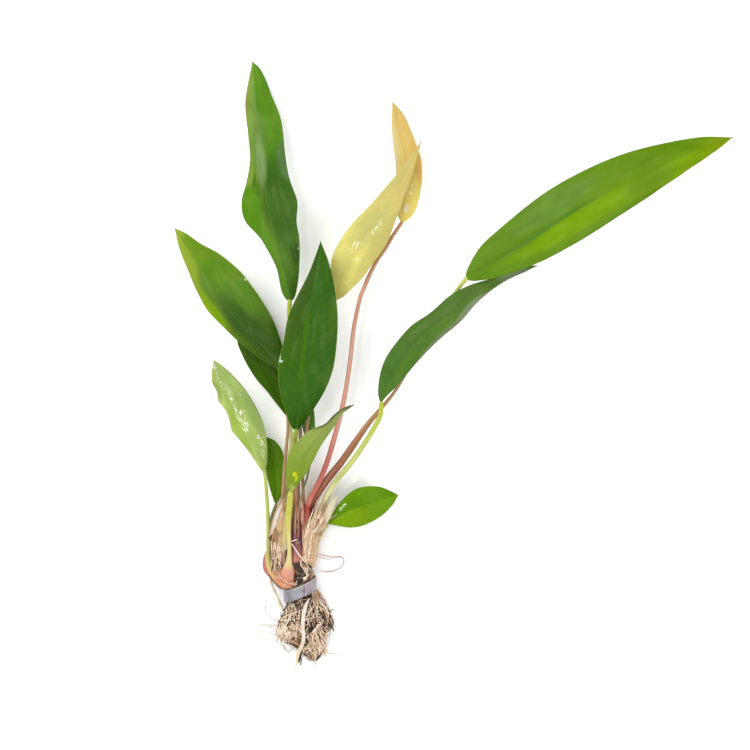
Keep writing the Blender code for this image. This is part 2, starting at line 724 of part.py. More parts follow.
def lump(thing):
    """Swell and sink the root mass a little where it lies below the strip."""
    start = place(0, ROOT_LUMPS_START_ROW, 0).y
    middle = place(*ROOT_MIDDLE)
    for vertex in thing.data.vertices:
        point = vertex.co
        below = min(max((start - point.y) / ROOT_LUMPS_GROW_OVER, 0.0), 1.0)
        wave = math.sin(point.x / MM * 1.3) + math.sin(point.y / MM * 1.1 + 1) + math.sin(point.z / MM * 1.7)
        out = point - middle
        out.z *= 0.5
        vertex.co = point + out * (ROOT_LUMPS * wave * below)
        vertex.co.z = max(vertex.co.z, ROOT_LOWEST)


def thick_root(name, stations):
    """One root that stands out from the tangle."""
    return tube_through(name, stations, 10, ROOT_SIDES, plain_material("root_skin", CREAM, 0.8))


def strip_section(turn):
    """A point of the strip's inner face, across and up from its lowest middle, and the way out there."""
    half_height = STRIP_HEIGHT / 2
    across = math.cos(turn)
    up = math.sin(turn)
    inner_width = STRIP_HALF_WIDTH - STRIP_THICKNESS
    inner_height = half_height - STRIP_THICKNESS
    point = Vector((across * inner_width, 0, half_height + up * inner_height))
    out = Vector((across / inner_width, 0, up / inner_height)).normalized()
    return point, out


def weight_strip():
    """The metal strip, wound a little more than once round the neck, with a flat underside."""
    centre = place(*STRIP_CENTRE, 0)
    shape = bmesh.new()
    rings = []
    for number in range(STRIP_SEGMENTS + 1):
        turned = STRIP_TURN * number / STRIP_SEGMENTS
        point, out = strip_section(STRIP_START + turned)
        lift = min(max((turned - STRIP_LIFT_START) / STRIP_LIFT_LENGTH, 0.0), 1.0) * STRIP_OVERLAP
        inner = point + out * lift
        outer = inner + out * STRIP_THICKNESS
        inner.z = max(inner.z, STRIP_THICKNESS)
        outer.z = max(outer.z, 0.0)
        if abs(outer.x) < STRIP_FLAT / 2 and outer.z < STRIP_HEIGHT / 4:
            outer.z = 0.0
            inner.z = STRIP_THICKNESS
        ring = []
        for corner, edge in ((inner, -1), (outer, -1), (outer, 1), (inner, 1)):
            shift = STRIP_RISE * corner.x - STRIP_LEAN * (corner.z - STRIP_HEIGHT / 2)
            along = shift + edge * STRIP_BAND / 2
            ring.append(shape.verts.new(centre + Vector((corner.x, along, corner.z))))
        rings.append(ring)
    for first, second in zip(rings, rings[1:]):
        for corner in range(4):
            following = (corner + 1) % 4
            shape.faces.new((first[corner], first[following], second[following], second[corner]))
    shape.faces.new(list(reversed(rings[0])))
    shape.faces.new(rings[-1])
    mesh = mesh_of_bmesh("weight_strip", shape)
    return new_object("weight_strip", mesh, plain_material("grey_metal", GREY_METAL, 0.5, 0.8))


def build():
    """Make every piece of the plant."""
    clear_scene()
    for name, leaf in LEAVES.items():
        blade("blade_" + name, leaf)
        stem("stem_" + name, leaf)
    crown()
    weight_strip()
    root_mass()
    for name, stations in THICK_ROOTS.items():
        thick_root(name, stations)
    tube_through("root_loop", LOOP_ROOT, 14, THIN_SIDES, plain_material("root_skin", CREAM, 0.8))


build()
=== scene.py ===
"""The looks of a bare-rooted anubias with long narrow leaves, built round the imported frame.

A place over the surface is given by its column and row in a picture taken from straight above, 750 by
750 pixels, and by its height in millimetres, as in the model's source. One pixel is PIXEL metres there.
"""
import math

import bpy
import numpy as np
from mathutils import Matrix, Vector, noise


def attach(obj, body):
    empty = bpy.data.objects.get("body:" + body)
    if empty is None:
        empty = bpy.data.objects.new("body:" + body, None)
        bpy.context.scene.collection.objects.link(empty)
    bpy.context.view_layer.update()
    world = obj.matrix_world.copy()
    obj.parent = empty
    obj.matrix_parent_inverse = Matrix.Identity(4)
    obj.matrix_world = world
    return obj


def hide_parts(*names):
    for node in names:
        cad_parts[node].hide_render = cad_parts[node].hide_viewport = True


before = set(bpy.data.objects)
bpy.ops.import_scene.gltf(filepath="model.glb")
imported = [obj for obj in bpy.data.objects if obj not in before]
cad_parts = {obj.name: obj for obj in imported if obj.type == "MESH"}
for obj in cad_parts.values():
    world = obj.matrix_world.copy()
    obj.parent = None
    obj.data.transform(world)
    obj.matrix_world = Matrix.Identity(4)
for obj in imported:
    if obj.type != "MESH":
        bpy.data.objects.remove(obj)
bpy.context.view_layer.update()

MM = 0.001
PIXEL = 0.45 * MM
CENTRE_COLUMN = 452.5
CENTRE_ROW = 368.8
PICTURE_SIDE = 750

# The camera's height and half the floor's width, in metres, and the camera's sensor, in millimetres.
CAMERA_HEIGHT = 4.0
FLOOR_REACH = 3.0
SENSOR = 36.0

# How many times brighter than its own colour a surface shows under the lamps and the sky.
WHITE_LIGHT = 1.68
SKY_STRENGTH = 0.84

# Each lamp: its place and its width in metres, and its power in watts.
LAMPS = {
    "key": ((-0.9, 0.7, 1.2), 1.1, 17.0),
    "fill": ((1.0, -0.5, 1.2), 1.3, 11.0),
    "low_fill": ((-0.5, -1.1, 1.1), 1.2, 7.0),
    "sparkle": ((-0.35, 0.32, 1.6), 0.16, 3.0),
}

# Blades. Steps are those along the blade and those across one half of it; the veins are in millimetres.
LONG_BLADE_STEPS = (180, 26)
SHORT_BLADE_STEPS = (110, 18)
SHORT_BLADE_KNOTS = 6
BLADE_THICKNESS = 0.5 * MM
TIP_HALF_WIDTH = 0.28 * MM
BLADE_ARCH = 0.05
RIB_HEIGHT = 0.26 * MM
RIB_HALF_WIDTH = 0.6 * MM
WAVE_HEIGHT = 0.28 * MM
WAVE_SIZE = 9 * MM
WRINKLE_HEIGHT = 0.42 * MM
WRINKLE_SIZE = 3.2 * MM
VEIN_SPACING = 4.6
VEIN_SLANT = 0.95
VEIN_HEIGHT = 0.08 * MM
MARGIN_GREEN = (0.35, 0.42, 0.06)

# Stems. Steps are those between two of a stem's stations; the joint is the length inside the blade.
STEM_STEPS = 26
STEM_SIDES = 20
STEM_GROOVE = 0.12
STEM_JOINT = 1.8 * MM

# Sheaths. Creases run along them, and crumples are the larger lumps.
SHEATH_ROWS = 56
SHEATH_COLUMNS = 25
SHEATH_HALF_THICKNESS = 0.06 * MM
SHEATH_ARCH = 0.16
CREASES = 7
CREASE_HEIGHT = 0.08 * MM
CRUMPLE_HEIGHT = 0.22 * MM
CRUMPLE_SIZE = 2.4 * MM

# Thin roots. Radii in millimetres, each with its share of the roots.
STRAND_KNOTS = 11
STRAND_STEPS = 24
FAN_RADII = (0.12, 0.16, 0.21, 0.28)
FAN_RADIUS_SHARES = (0.25, 0.35, 0.25, 0.15)
CROSSING_STRANDS = 230
CROSSING_RADII = (0.13, 0.18, 0.24, 0.3)
CROSSING_RADIUS_SHARES = (0.3, 0.35, 0.25, 0.1)
PALE_STRAND_SHARE = 0.28
WISP_STEPS = 60
THICK_ROOT_STEPS = 70
THICK_ROOT_SIDES = 18

# The grid of the root mass's core, and how far the mass stays over the surface.
CORE_RINGS = 70
CORE_SIDES = 56
SURFACE_GAP = 0.25 * MM

# The metal strip. Its winding is in degrees: where it starts, how far it goes and where its end lifts.
STRIP_STEPS = 150
STRIP_START = 18
STRIP_WINDING = 412
STRIP_LIFT_START = 318
STRIP_LIFT_LENGTH = 34
STRIP_CENTRE = (299, 588.2)
STRIP_HALF_WIDTH = 6.8 * MM
STRIP_HEIGHT = 14.6 * MM
STRIP_BAND = 5.4 * MM
STRIP_THICKNESS = 0.8 * MM
STRIP_OVERLAP = 1.2 * MM
STRIP_RISE = 0.43
STRIP_LEAN = 0.25

# Each leaf: three lines from its base to its tip, of which "midrib" holds both ends and "left" and "right"
# are the margins between them, seen along the midrib. Its stem goes from the base down to the crown.
LEAVES = {
    "tall": {
        "midrib": [
            (290, 303, 18.8), (283.5, 272, 22), (275, 240, 25), (267, 200, 26), (262, 172, 24),
            (259, 150, 21), (257, 120, 15), (254, 80, 5), (252.5, 61.5, 0.6),
        ],
        "left": [
            (282.8, 293.5, 18.6), (276.6, 268, 20), (262.3, 241, 24), (246, 222, 28), (242.5, 203, 29),
            (247.4, 183, 26.5), (250.8, 160, 22), (248.5, 135, 16.5), (245.6, 104, 9.5), (249, 80, 4.5),
        ],
        "right": [
            (294.8, 298, 18.5), (297.6, 287, 18.4), (299.8, 265, 19), (299.8, 240, 21.5), (297, 222, 23),
            (297.5, 202, 23.5), (290, 180, 22.5), (285.6, 155, 20), (281.6, 122, 14.5), (273.5, 100, 9),
            (262, 72, 2.8),
        ],
        "stem": [
            (289.7, 318, 18.2), (292.5, 345, 17), (295.5, 375, 15.5), (298, 405, 14),
            (300.5, 435, 11.5), (299.5, 455, 9.5), (298.5, 475, 7.8), (298, 505, 6.8),
        ],
        "stem_radius": (1.0, 0.9),
    },
    "left": {
        "midrib": [
            (285, 374, 14.5), (262, 345, 17), (245, 328, 18.5), (228, 308, 18), (212, 285, 15),
            (198, 262, 10), (185, 243, 4.5), (174.5, 228, 0.6),
        ],
        "left": [
            (279, 371, 14), (265, 362, 15.2), (245, 347, 16.5), (228, 331, 17), (209.4, 312.2, 15),
            (199.3, 295.2, 12.5), (189.2, 272.5, 8.5), (180.3, 250.5, 4),
        ],
        "right": [
            (286, 362, 15), (281.2, 341, 16), (272.6, 318, 18.5), (260, 297, 20), (250, 283, 20),
            (240, 271, 18.5), (220.6, 254.8, 13.5), (200.5, 243.6, 7.5), (186, 233.5, 3),
        ],
        "stem": [
            (286.5, 400, 13.5), (288.3, 425, 12.8), (286.8, 445, 12.3),
            (285, 465, 11.8), (282.5, 505, 11),
        ],
        "stem_radius": (0.6, 0.85),
    },
    "front": {
        "midrib": [
            (296, 432, 18.5), (299, 400, 23), (302, 360, 26.5), (307, 320, 28.5), (313, 285, 28.5),
            (318, 260, 27), (321, 242, 24.5),
        ],
        "left": [
            (290, 423, 18.7), (284, 405, 21), (279.5, 385, 23), (279, 365, 24.5), (284, 342, 26.5),
            (288, 320, 28), (296, 300, 29), (307.3, 278, 29), (315, 259, 27.5),
        ],
        "right": [
            (305, 422, 18.8), (314, 409, 20), (325, 391, 22), (333, 370, 24), (337, 345, 26),
            (338, 318, 27.5), (335.6, 292, 28), (330, 266, 27),
        ],
        "stem": [
            (295, 445, 17.3), (294.5, 460, 15.8), (295, 480, 14), (295, 505, 12.5),
        ],
        "stem_radius": (1.05, 1.2),
    },
    "hidden_left": {
        "midrib": [
            (289.5, 420, 9), (280, 398, 10), (268, 375, 10.5), (255, 352, 10), (246, 336, 9),
            (240, 324, 8),
        ],
        "left": [
            (284, 413, 9.2), (276, 403, 9.8), (267, 391, 10.3), (257.2, 380, 10.3), (250, 369, 10),
            (243, 356, 9.3), (237.5, 341, 8.5),
        ],
        "right": [
            (290, 405, 9.8), (286, 388, 10.3), (280, 370, 10.8), (268, 352, 10.6), (256, 338, 10),
        ],
        "stem": [
            (291, 432, 9), (291, 445, 9), (289, 462, 8.8), (287.5, 480, 8.4),
            (286, 505, 7),
        ],
        "stem_radius": (0.7, 1.2),
    },
    "hidden_middle": {
        "midrib": [
            (310, 446, 9), (309, 430, 9.5), (308, 410, 10.5), (306, 390, 11), (304, 370, 10),
        ],
        "left": [
            (305, 436, 9), (302, 424, 9.5), (300, 405, 10.5), (301, 388, 11),
        ],
        "right": [
            (314.5, 434, 9), (315.2, 424, 9.5), (314, 409, 10.5), (310, 388, 11),
        ],
        "stem": [
            (309.8, 455, 10), (309.6, 466, 11.3), (307, 478, 12.6), (303.2, 490, 13.5),
            (299.5, 505, 14.2),
        ],
        "stem_radius": (0.5, 0.5),
    },
    "pale_underside": {
        "midrib": [
            (264.5, 472, 9), (257, 455, 12), (250, 440, 14), (243, 425, 15), (236, 410, 15),
            (229, 397, 13.5), (222, 383, 10), (216, 370, 5), (213.8, 360, 0.6),
        ],
        "left": [
            (261.5, 470, 9.3), (251.8, 455, 11.5), (239.4, 439, 13.5), (232.3, 430.3, 14),
            (229.8, 420, 14.4), (226, 410, 14.5), (219.4, 401.5, 14), (217.2, 391.5, 12.8),
            (212.8, 383.3, 10.5), (211.8, 373, 6.5),
        ],
        "right": [
            (266.8, 466, 9.8), (267.8, 450, 12), (264.6, 426.6, 14.5), (257.4, 408.6, 16),
            (246.5, 390.5, 15.5), (234, 376, 12), (223, 366, 6),
        ],
        "stem": [
            (265.7, 480, 9), (267.1, 500, 9), (268.3, 520, 9), (268.5, 535, 9),
            (268.7, 549, 9),
        ],
        "stem_radius": (0.7, 1.0),
    },
    "small_dark": {
        "midrib": [
            (276, 505, 4.5), (276, 490, 4.8), (275, 470, 5), (272, 452, 5), (267, 437, 4.6),
        ],
        "left": [
            (273, 498, 4.7), (269, 485, 5), (266, 470, 5.2), (264.5, 452, 5.2),
        ],
        "right": [
            (281, 497, 4.7), (286, 485, 5), (286.5, 470, 5.2), (282.3, 451.3, 5.2), (275.3, 441, 4.9),
        ],
        "stem": [
            (273, 513, 4.5), (271, 521, 4.8),
        ],
        "stem_radius": (0.6, 0.8),
    },
    "pale_centre": {
        "midrib": [
            (291, 493, 17), (296, 475, 21), (303, 457, 24.5), (313, 441, 27), (323, 430, 28),
            (333, 419, 27.5), (344, 410.5, 26.5), (354, 404.5, 25.5),
        ],
        "left": [
            (287, 480, 19), (286.5, 468, 21.5), (290, 452, 24), (296, 443, 26), (310, 430, 28.5),
            (325, 424, 29.5), (333.5, 415.3, 29), (344.5, 407.3, 28),
        ],
        "right": [
            (299.5, 483, 18.5), (308, 471, 21.5), (315, 457.8, 24), (320.7, 446.2, 25.5),
            (328.5, 434.7, 26.5), (335.2, 425.4, 26.5), (341, 415.2, 26.3), (348, 409, 25.8),
        ],
        "stem": [
            (290.3, 499, 16.6), (289.8, 505, 16.2),
        ],
        "stem_radius": (1.2, 1.5),
    },
    "yellow": {
        "midrib": [
            (334, 302, 15.5), (341, 281, 18.5), (353, 256, 22), (368, 235, 24), (384, 210, 23.5),
            (397, 187, 20.5), (408, 168, 16.5), (421, 142, 12),
        ],
        "left": [
            (330, 288, 17.5), (331, 272, 19.5), (332, 260, 21), (337, 247, 23), (351, 226, 25),
            (372, 204, 24.5), (390, 183, 21.5), (403, 167, 17.5), (415, 151, 13.8),
        ],
        "right": [
            (344, 296.6, 17), (352.3, 288.8, 19), (363.5, 277.5, 21), (370, 268, 21.8), (386, 245.5, 22.3),
            (394.3, 224.5, 21.8), (403, 201, 20.5), (410, 183, 18.8), (417, 158, 14.5),
        ],
        "stem": [
            (326, 330, 15), (318, 365, 14.5), (311, 400, 14), (308, 420, 13.5),
            (305, 445, 12), (303, 470, 11), (303.3, 490, 10.2), (304, 505, 9.7),
        ],
        "stem_radius": (0.8, 0.75),
    },
    "orange": {
        "midrib": [
            (401, 224, 16), (404, 205, 15.3), (407, 185, 13.7), (406, 165, 11.2), (403, 148, 8.7),
            (398, 130, 5.6), (395, 115, 2.8), (392.5, 102, 0.6),
        ],
        "left": [
            (397, 214, 15.6), (394.5, 196, 14.5), (395.6, 178, 12.8), (395.6, 165, 11), (393.7, 150, 8.8),
            (392.2, 135, 6.3), (391.6, 118, 3.3),
        ],
        "right": [
            (407, 221, 15.8), (414.6, 212.5, 15.2), (419.3, 197.5, 14.2), (421.8, 178, 12.5),
            (420.8, 160, 10.2), (416, 145, 7.9), (409.6, 128.6, 5.2), (402.8, 113.5, 2.7),
        ],
        "stem": [
            (393, 236, 16.5), (386, 248, 17), (379, 258, 17), (374, 266.5, 16.8),
            (369.2, 276, 16.6), (364.2, 288, 16.5), (359.8, 300, 16.4), (354, 328, 16), (350.4, 360, 15.5),
            (344, 400, 15), (333.8, 440, 14.6), (324.2, 470, 13.8), (312.5, 494, 13), (307.5, 506, 12.5),
        ],
        "stem_radius": (0.8, 0.95, 1.0, 1.15, 1.25),
    },
    "long_right": {
        "midrib": [
            (465, 280, 16.5), (500, 257, 22), (530, 237.5, 26), (570, 211, 28), (600, 194, 27),
            (640, 174, 22.5), (680, 157, 14.5), (710, 145.5, 6.5), (732.6, 137.4, 0.6),
        ],
        "left": [
            (467, 269.5, 18), (479.2, 248.3, 22), (499.2, 229.3, 26.5), (540, 196.6, 31), (580, 173.3, 31),
            (620, 156, 26.5), (660, 145, 19.5), (700, 137.7, 9.5),
        ],
        "right": [
            (476, 281.3, 16.8), (500, 277, 19.5), (540, 262.2, 22.5), (580, 240.8, 23.5), (620, 215.4, 21.5),
            (660, 189, 16.5), (695, 165.2, 9.5), (718, 149.3, 4),
        ],
        "stem": [
            (455, 293, 16), (440, 317, 15.2), (424.6, 342.8, 14.3), (409.2, 367.2, 13.3),
            (394.6, 391.6, 12.5), (378.8, 411, 11.5), (365, 428, 10.9), (342.8, 460, 9.4), (326.8, 480, 8.3),
            (314.8, 497.5, 7.3), (310.6, 507, 7),
        ],
        "stem_radius": (1.0, 0.7, 0.8, 1.6, 1.7),
    },
    "folded_right": {
        "midrib": [
            (381, 405, 16.5), (388, 380, 19.5), (402, 360, 22), (422, 336, 23.5), (441, 320, 22.5),
            (460, 304, 19.5), (477, 291, 15), (500, 280, 9), (520, 271.5, 4), (537, 266, 0.9),
        ],
        "left": [
            (378, 392, 18), (381, 370, 21), (390, 351, 23.5), (410, 327, 25), (430, 313, 24.5),
            (449.5, 296, 22), (469, 285.6, 17), (490, 279, 11.5), (511, 272, 6.5), (528, 266, 3),
        ],
        "right": [
            (385.5, 397.5, 17.5), (399.3, 383.3, 20), (420, 359, 22), (440, 339, 22.5), (460, 322, 20.5),
            (474, 306, 16.5), (488, 293, 12), (506, 281, 7), (525, 272, 2.8),
        ],
        "stem": [
            (380.4, 415, 16.2), (374.6, 427, 15.5), (366.8, 440, 14.7), (353.2, 460, 13.2),
            (344.2, 471, 12.2), (336, 481, 11.2), (328.6, 493, 10.2), (322, 508, 9.2),
        ],
        "stem_radius": (1.1, 1.4),
    },
    "small_right": {
        "midrib": [
            (327, 523.5, 7), (345, 512.5, 8.5), (365, 505, 8.5), (385, 499, 5), (398.5, 495, 0.8),
        ],
        "left": [
            (331, 517, 7.5), (337.5, 505.5, 9), (349, 493, 10), (361, 487, 10), (378, 486.3, 7.5),
            (390.3, 490.8, 3.5),
        ],
        "right": [
            (336, 525, 7.5), (350, 527.2, 8), (364.5, 524.8, 8), (381, 516, 5.5), (391.5, 506, 2.8),
        ],
        "stem": [
            (324, 528, 6.2), (321.3, 532, 5.2),
        ],
        "stem_radius": (1.0, 1.25),
    },
}

# How each blade looks, in sRGB: its two halves near the base and near the tip, its midrib and how far
# that stands out, and its material slot. A patch is a soft spot: its place across (-1 to 1) and along
# (0 to 1), its half size across and along, and its colour. Only some blades have the rest: "blend" is where
# one half turns into the other, "margin" the colour of the edge, "wrinkle" how deep the wrinkles are,
# "under" says that the underside shows, and "glints" are spots with streaks of light. Besides the leaves'
# own greens, the halves and many patches hold painted light: greyer, darker greens for painted sheen,
# bright yellow-greens for light shining through the blade, and dark patches for painted shade where the
# blade bends and twists.
BLADE_LOOKS = {
    "tall": {
        "left": ((92, 140, 28), (132, 168, 66)), "right": ((78, 126, 34), (96, 148, 26)),
        "rib": (122, 152, 74), "rib_share": 0.3, "slot": "leaf_green",
        "patches": [
            (-0.7, 0.40, 0.55, 0.13, (90, 148, 0)), (0.45, 0.4, 0.9, 0.24, (56, 100, 26)),
            (-0.1, 0.64, 0.5, 0.2, (116, 150, 70)), (-0.05, 0.57, 0.34, 0.12, (142, 172, 106)),
            (-0.85, 0.52, 0.4, 0.05, (140, 170, 70)), (0.9, 0.56, 0.35, 0.1, (96, 132, 80)),
            (-0.5, 0.49, 0.14, 0.05, (76, 122, 14)), (-0.3, 0.455, 0.14, 0.04, (74, 118, 18)),
            (0.8, 0.2, 0.3, 0.06, (44, 84, 24)),
            (-1.0, 0.83, 0.4, 0.12, (156, 160, 84)), (0.94, 0.215, 0.05, 0.008, (190, 212, 160)),
        ],
        "margin": (84, 92, 58),
    },
    "left": {
        "left": ((66, 98, 18), (156, 182, 54)), "right": ((64, 100, 26), (114, 156, 20)),
        "rib": (96, 136, 50), "rib_share": 0.3, "slot": "leaf_green", "blend": (-0.5, 0.2),
        "patches": [
            (-0.1, 0.6, 0.7, 0.16, (86, 132, 36)), (0.5, 0.66, 0.6, 0.12, (94, 140, 10)),
            (0.0, 0.34, 0.8, 0.24, (54, 92, 32)), (0.65, 0.44, 0.4, 0.12, (88, 134, 32)),
            (-1.0, 0.5, 0.6, 0.17, (136, 176, 0)), (0.0, 1.0, 1.6, 0.1, (164, 186, 60)),
            (0.0, 0.08, 1.0, 0.1, (72, 104, 38)), (0.96, 0.515, 0.05, 0.01, (200, 222, 180)),
        ],
    },
    "front": {
        "left": ((62, 108, 22), (64, 98, 26)), "right": ((58, 106, 24), (60, 106, 26)),
        "rib": (52, 100, 10), "rib_share": 0.6, "slot": "leaf_dark",
        "patches": [
            (0.0, 0.0, 1.4, 0.16, (46, 96, 0)), (-0.5, 0.75, 0.5, 0.12, (66, 98, 34)),
            (0.0, 0.45, 0.12, 0.3, (72, 122, 0)), (-0.92, 0.37, 0.14, 0.009, (220, 246, 220)),
            (-0.98, 0.385, 0.05, 0.018, (220, 246, 220)),
            (0.8, 0.6, 0.2, 0.1, (70, 112, 20)),
        ],
    },
    "hidden_left": {
        "left": ((62, 102, 0), (54, 96, 0)), "right": ((54, 92, 0), (48, 86, 0)),
        "rib": (84, 116, 30), "rib_share": 0.4, "slot": "leaf_dark", "patches": [],
    },
    "hidden_middle": {
        "left": ((112, 164, 78), (96, 142, 56)), "right": ((100, 154, 62), (86, 134, 48)),
        "rib": (66, 90, 30), "rib_share": 0.4, "slot": "leaf_dark", "patches": [],
    },
    "pale_underside": {
        "left": ((190, 212, 108), (182, 206, 112)), "right": ((172, 196, 102), (164, 188, 102)),
        "rib": (186, 206, 130), "rib_share": 0.3, "slot": "leaf_pale", "wrinkle": 1.0, "under": True,
        "patches": [
            (-0.5, 0.35, 0.6, 0.3, (160, 190, 74)), (0.2, 0.62, 0.6, 0.2, (158, 184, 88)),
            (0.75, 0.45, 0.35, 0.24, (142, 166, 88)), (-0.9, 0.7, 0.5, 0.12, (146, 170, 78)),
            (0.15, 0.68, 0.25, 0.1, (186, 208, 136)), (1.06, 0.62, 0.16, 0.42, (96, 112, 78)),
            (-0.3, 0.93, 0.8, 0.06, (206, 216, 176)),
        ],
        "glints": [
            (0.1, 0.45, 0.4, 0.2), (-0.1, 0.76, 0.25, 0.14), (0.6, 0.2, 0.3, 0.16), (0.0, 0.62, 0.24, 0.2),
            (-0.2, 0.93, 0.5, 0.05),
        ],
    },
    "small_dark": {
        "left": ((104, 150, 6), (98, 142, 10)), "right": ((98, 144, 14), (94, 138, 16)),
        "rib": (98, 134, 40), "rib_share": 0.4, "slot": "leaf_dark", "patches": [],
    },
    "pale_centre": {
        "left": ((138, 166, 50), (172, 184, 104)), "right": ((132, 162, 46), (160, 176, 96)),
        "rib": (112, 146, 44), "rib_share": 0.2, "slot": "leaf_pale", "under": True,
        "patches": [
            (-1.05, 0.8, 0.85, 0.25, (58, 68, 50)), (0.0, 1.0, 1.6, 0.13, (72, 80, 66)),
            (0.0, 0.0, 1.6, 0.12, (170, 192, 92)), (-0.1, 0.185, 0.3, 0.03, (236, 242, 0)),
            (0.2, 0.15, 0.26, 0.04, (222, 232, 16)), (0.3, 0.06, 0.5, 0.03, (206, 214, 90)),
        ],
    },
    "yellow": {
        "left": ((246, 238, 130), (222, 206, 128)), "right": ((244, 234, 126), (222, 202, 122)),
        "rib": (214, 196, 120), "rib_share": 0.35, "slot": "leaf_yellow", "wrinkle": 0.7, "under": True,
        "patches": [
            (0.0, 0.45, 0.9, 0.2, (220, 213, 128)), (0.8, 0.35, 0.5, 0.3, (214, 204, 118)),
            (-0.3, 0.2, 0.9, 0.12, (224, 214, 120)),
        ],
        "glints": [(0.15, 0.47, 0.2, 0.06), (-0.2, 0.33, 0.25, 0.06), (0.3, 0.26, 0.2, 0.03)],
    },
    "orange": {
        "left": ((254, 234, 128), (240, 216, 132)), "right": ((254, 234, 124), (236, 202, 116)),
        "rib": (212, 150, 96), "rib_share": 0.35, "slot": "leaf_orange", "wrinkle": 0.5, "under": True,
        "patches": [
            (0.9, 0.5, 0.5, 0.25, (236, 188, 100)), (-0.9, 0.6, 0.5, 0.3, (232, 216, 160)),
            (0.24, 0.125, 0.24, 0.045, (255, 252, 240)),
        ],
        "glints": [(0.3, 0.28, 0.3, 0.06)],
    },
    "long_right": {
        "left": ((110, 152, 36), (110, 156, 10)), "right": ((104, 148, 20), (140, 178, 0)),
        "rib": (98, 140, 30), "rib_share": 0.25, "slot": "leaf_green", "blend": (-0.4, 0.3),
        "patches": [
            (0.42, 0.42, 0.4, 0.32, (130, 176, 0)), (-0.5, 0.36, 0.6, 0.2, (112, 154, 56)),
            (1.0, 0.42, 0.32, 0.4, (104, 150, 30)), (0.06, 0.3, 0.1, 0.3, (90, 134, 40)),
            (0.4, 0.68, 0.7, 0.12, (116, 160, 24)), (0.0, 1.0, 1.8, 0.16, (146, 176, 0)),
        ],
        "margin": (84, 104, 40),
    },
    "folded_right": {
        "left": ((84, 126, 48), (96, 130, 54)), "right": ((82, 126, 40), (98, 132, 54)),
        "rib": (92, 132, 60), "rib_share": 0.4, "slot": "leaf_dark",
        "patches": [
            (0.95, 0.52, 0.3, 0.3, (128, 142, 112)), (0.75, 0.62, 0.35, 0.12, (146, 162, 124)),
            (0.0, 0.88, 1.4, 0.1, (140, 154, 124)),
        ],
        "margin": (92, 88, 84),
    },
    "small_right": {
        "left": ((94, 148, 0), (106, 156, 6)), "right": ((126, 166, 0), (110, 162, 4)),
        "rib": (146, 180, 40), "rib_share": 0.15, "slot": "leaf_fresh",
        "patches": [(0.5, 0.3, 0.6, 0.3, (128, 166, 0))],
        "glints": [(-0.55, 0.27, 0.26, 0.09)],
    },
}

# Each stem's colour at the blade, halfway and at the crown, and its material slot.
STEM_LOOKS = {
    "tall": ((190, 212, 60), (172, 148, 84), (198, 140, 102), "stem_brown"),
    "left": ((150, 150, 80), (192, 152, 112), (190, 144, 106), "stem_green"),
    "front": ((166, 192, 50), (180, 150, 90), (196, 140, 100), "stem_green"),
    "hidden_left": ((252, 252, 160), (248, 248, 154), (214, 212, 116), "stem_green"),
    "hidden_middle": ((90, 110, 50), (104, 118, 56), (150, 130, 90), "stem_green"),
    "pale_underside": ((190, 206, 84), (200, 212, 100), (210, 212, 116), "stem_green"),
    "small_dark": ((110, 130, 50), (130, 146, 70), (160, 160, 90), "stem_green"),
    "pale_centre": ((194, 208, 90), (206, 210, 78), (206, 206, 72), "stem_green"),
    "yellow": ((196, 170, 110), (204, 160, 120), (214, 154, 118), "stem_tan"),
    "orange": ((210, 150, 102), (232, 168, 142), (206, 104, 92), "stem_salmon"),
    "long_right": ((204, 212, 96), (192, 146, 92), (184, 100, 72), "stem_brown"),
    "folded_right": ((186, 206, 40), (206, 216, 108), (230, 228, 168), "stem_green"),
    "small_right": ((150, 150, 60), (214, 196, 140), (230, 210, 160), "stem_green"),
}

# The crown: places with a radius in millimetres, for the rhizome, each stem's base on it and its side bud.
RHIZOME = [
    (292, 522, 9.6, 3.2), (291, 540, 9.3, 6.3), (290, 560, 9, 8.5), (291, 570, 8.9, 8.2),
    (293.5, 579, 8.7, 6.3),
]
RHIZOME_COLORS = ((150, 100, 80), (142, 92, 76), (54, 32, 30))

STEM_BASES = {
    "pale_underside": [
        (268.4, 556, 9.6, 1.3), (270.8, 567, 10.4, 1.6), (276.9, 577.6, 11, 1.8), (285, 584.8, 11.6, 1.7),
        (293.5, 586, 11.8, 1.1),
    ],
    "small_dark": [(271, 540, 6, 1.8), (273, 560, 7, 2.5), (280, 573, 8, 3)],
    "left": [(281, 530, 11, 2.2), (279.5, 550, 11, 2.8), (281, 571, 10, 3.2)],
    "hidden_left": [(284, 530, 7, 2.4), (282, 555, 7, 3), (285, 573, 8, 3.2)],
    "pale_centre": [
        (288.8, 520, 16, 1.4), (289, 532, 15.8, 1.1), (289.7, 552, 15.2, 1), (289, 562, 14.4, 1.5),
        (288.2, 571, 13.2, 3.3), (287.5, 582, 10.8, 2.9),
    ],
    "front": [(296, 525, 12.5, 2.6), (297, 545, 12, 3), (296, 564, 11, 3)],
    "hidden_middle": [(298, 520, 14.2, 1.4), (297, 540, 13.5, 2)],
    "tall": [(297, 530, 7, 2.6), (295, 555, 8, 3.2), (293, 572, 9, 3)],
    "yellow": [(303, 525, 10, 2.2), (302, 550, 10, 3), (300, 569, 10, 3)],
    "orange": [(306, 525, 12, 2.2), (306, 550, 11, 3), (304, 568, 10, 2.8)],
    "long_right": [(310, 525, 7, 2.4), (308, 550, 7, 3.2), (306, 567, 8, 2.6)],
    "folded_right": [(317, 525, 8.2, 1.6), (312.3, 545, 8, 2.2), (310.3, 569, 8.4, 2.3)],
    "small_right": [(316.7, 543, 5.2, 1.3), (312, 560, 7, 2.2)],
}

SIDE_BUD = [(266.9, 552, 7, 0.9), (265.9, 560, 8, 1.7), (267.6, 569, 8.5, 2.2), (276.6, 578, 8.7, 2.4)]
BUD_COLORS = ((212, 128, 124), (206, 118, 112), (222, 156, 130))

# How much of those radii the rhizome and the bud keep, under what grows round them.
RHIZOME_SHARE = 0.94
BUD_SHARE = 0.78

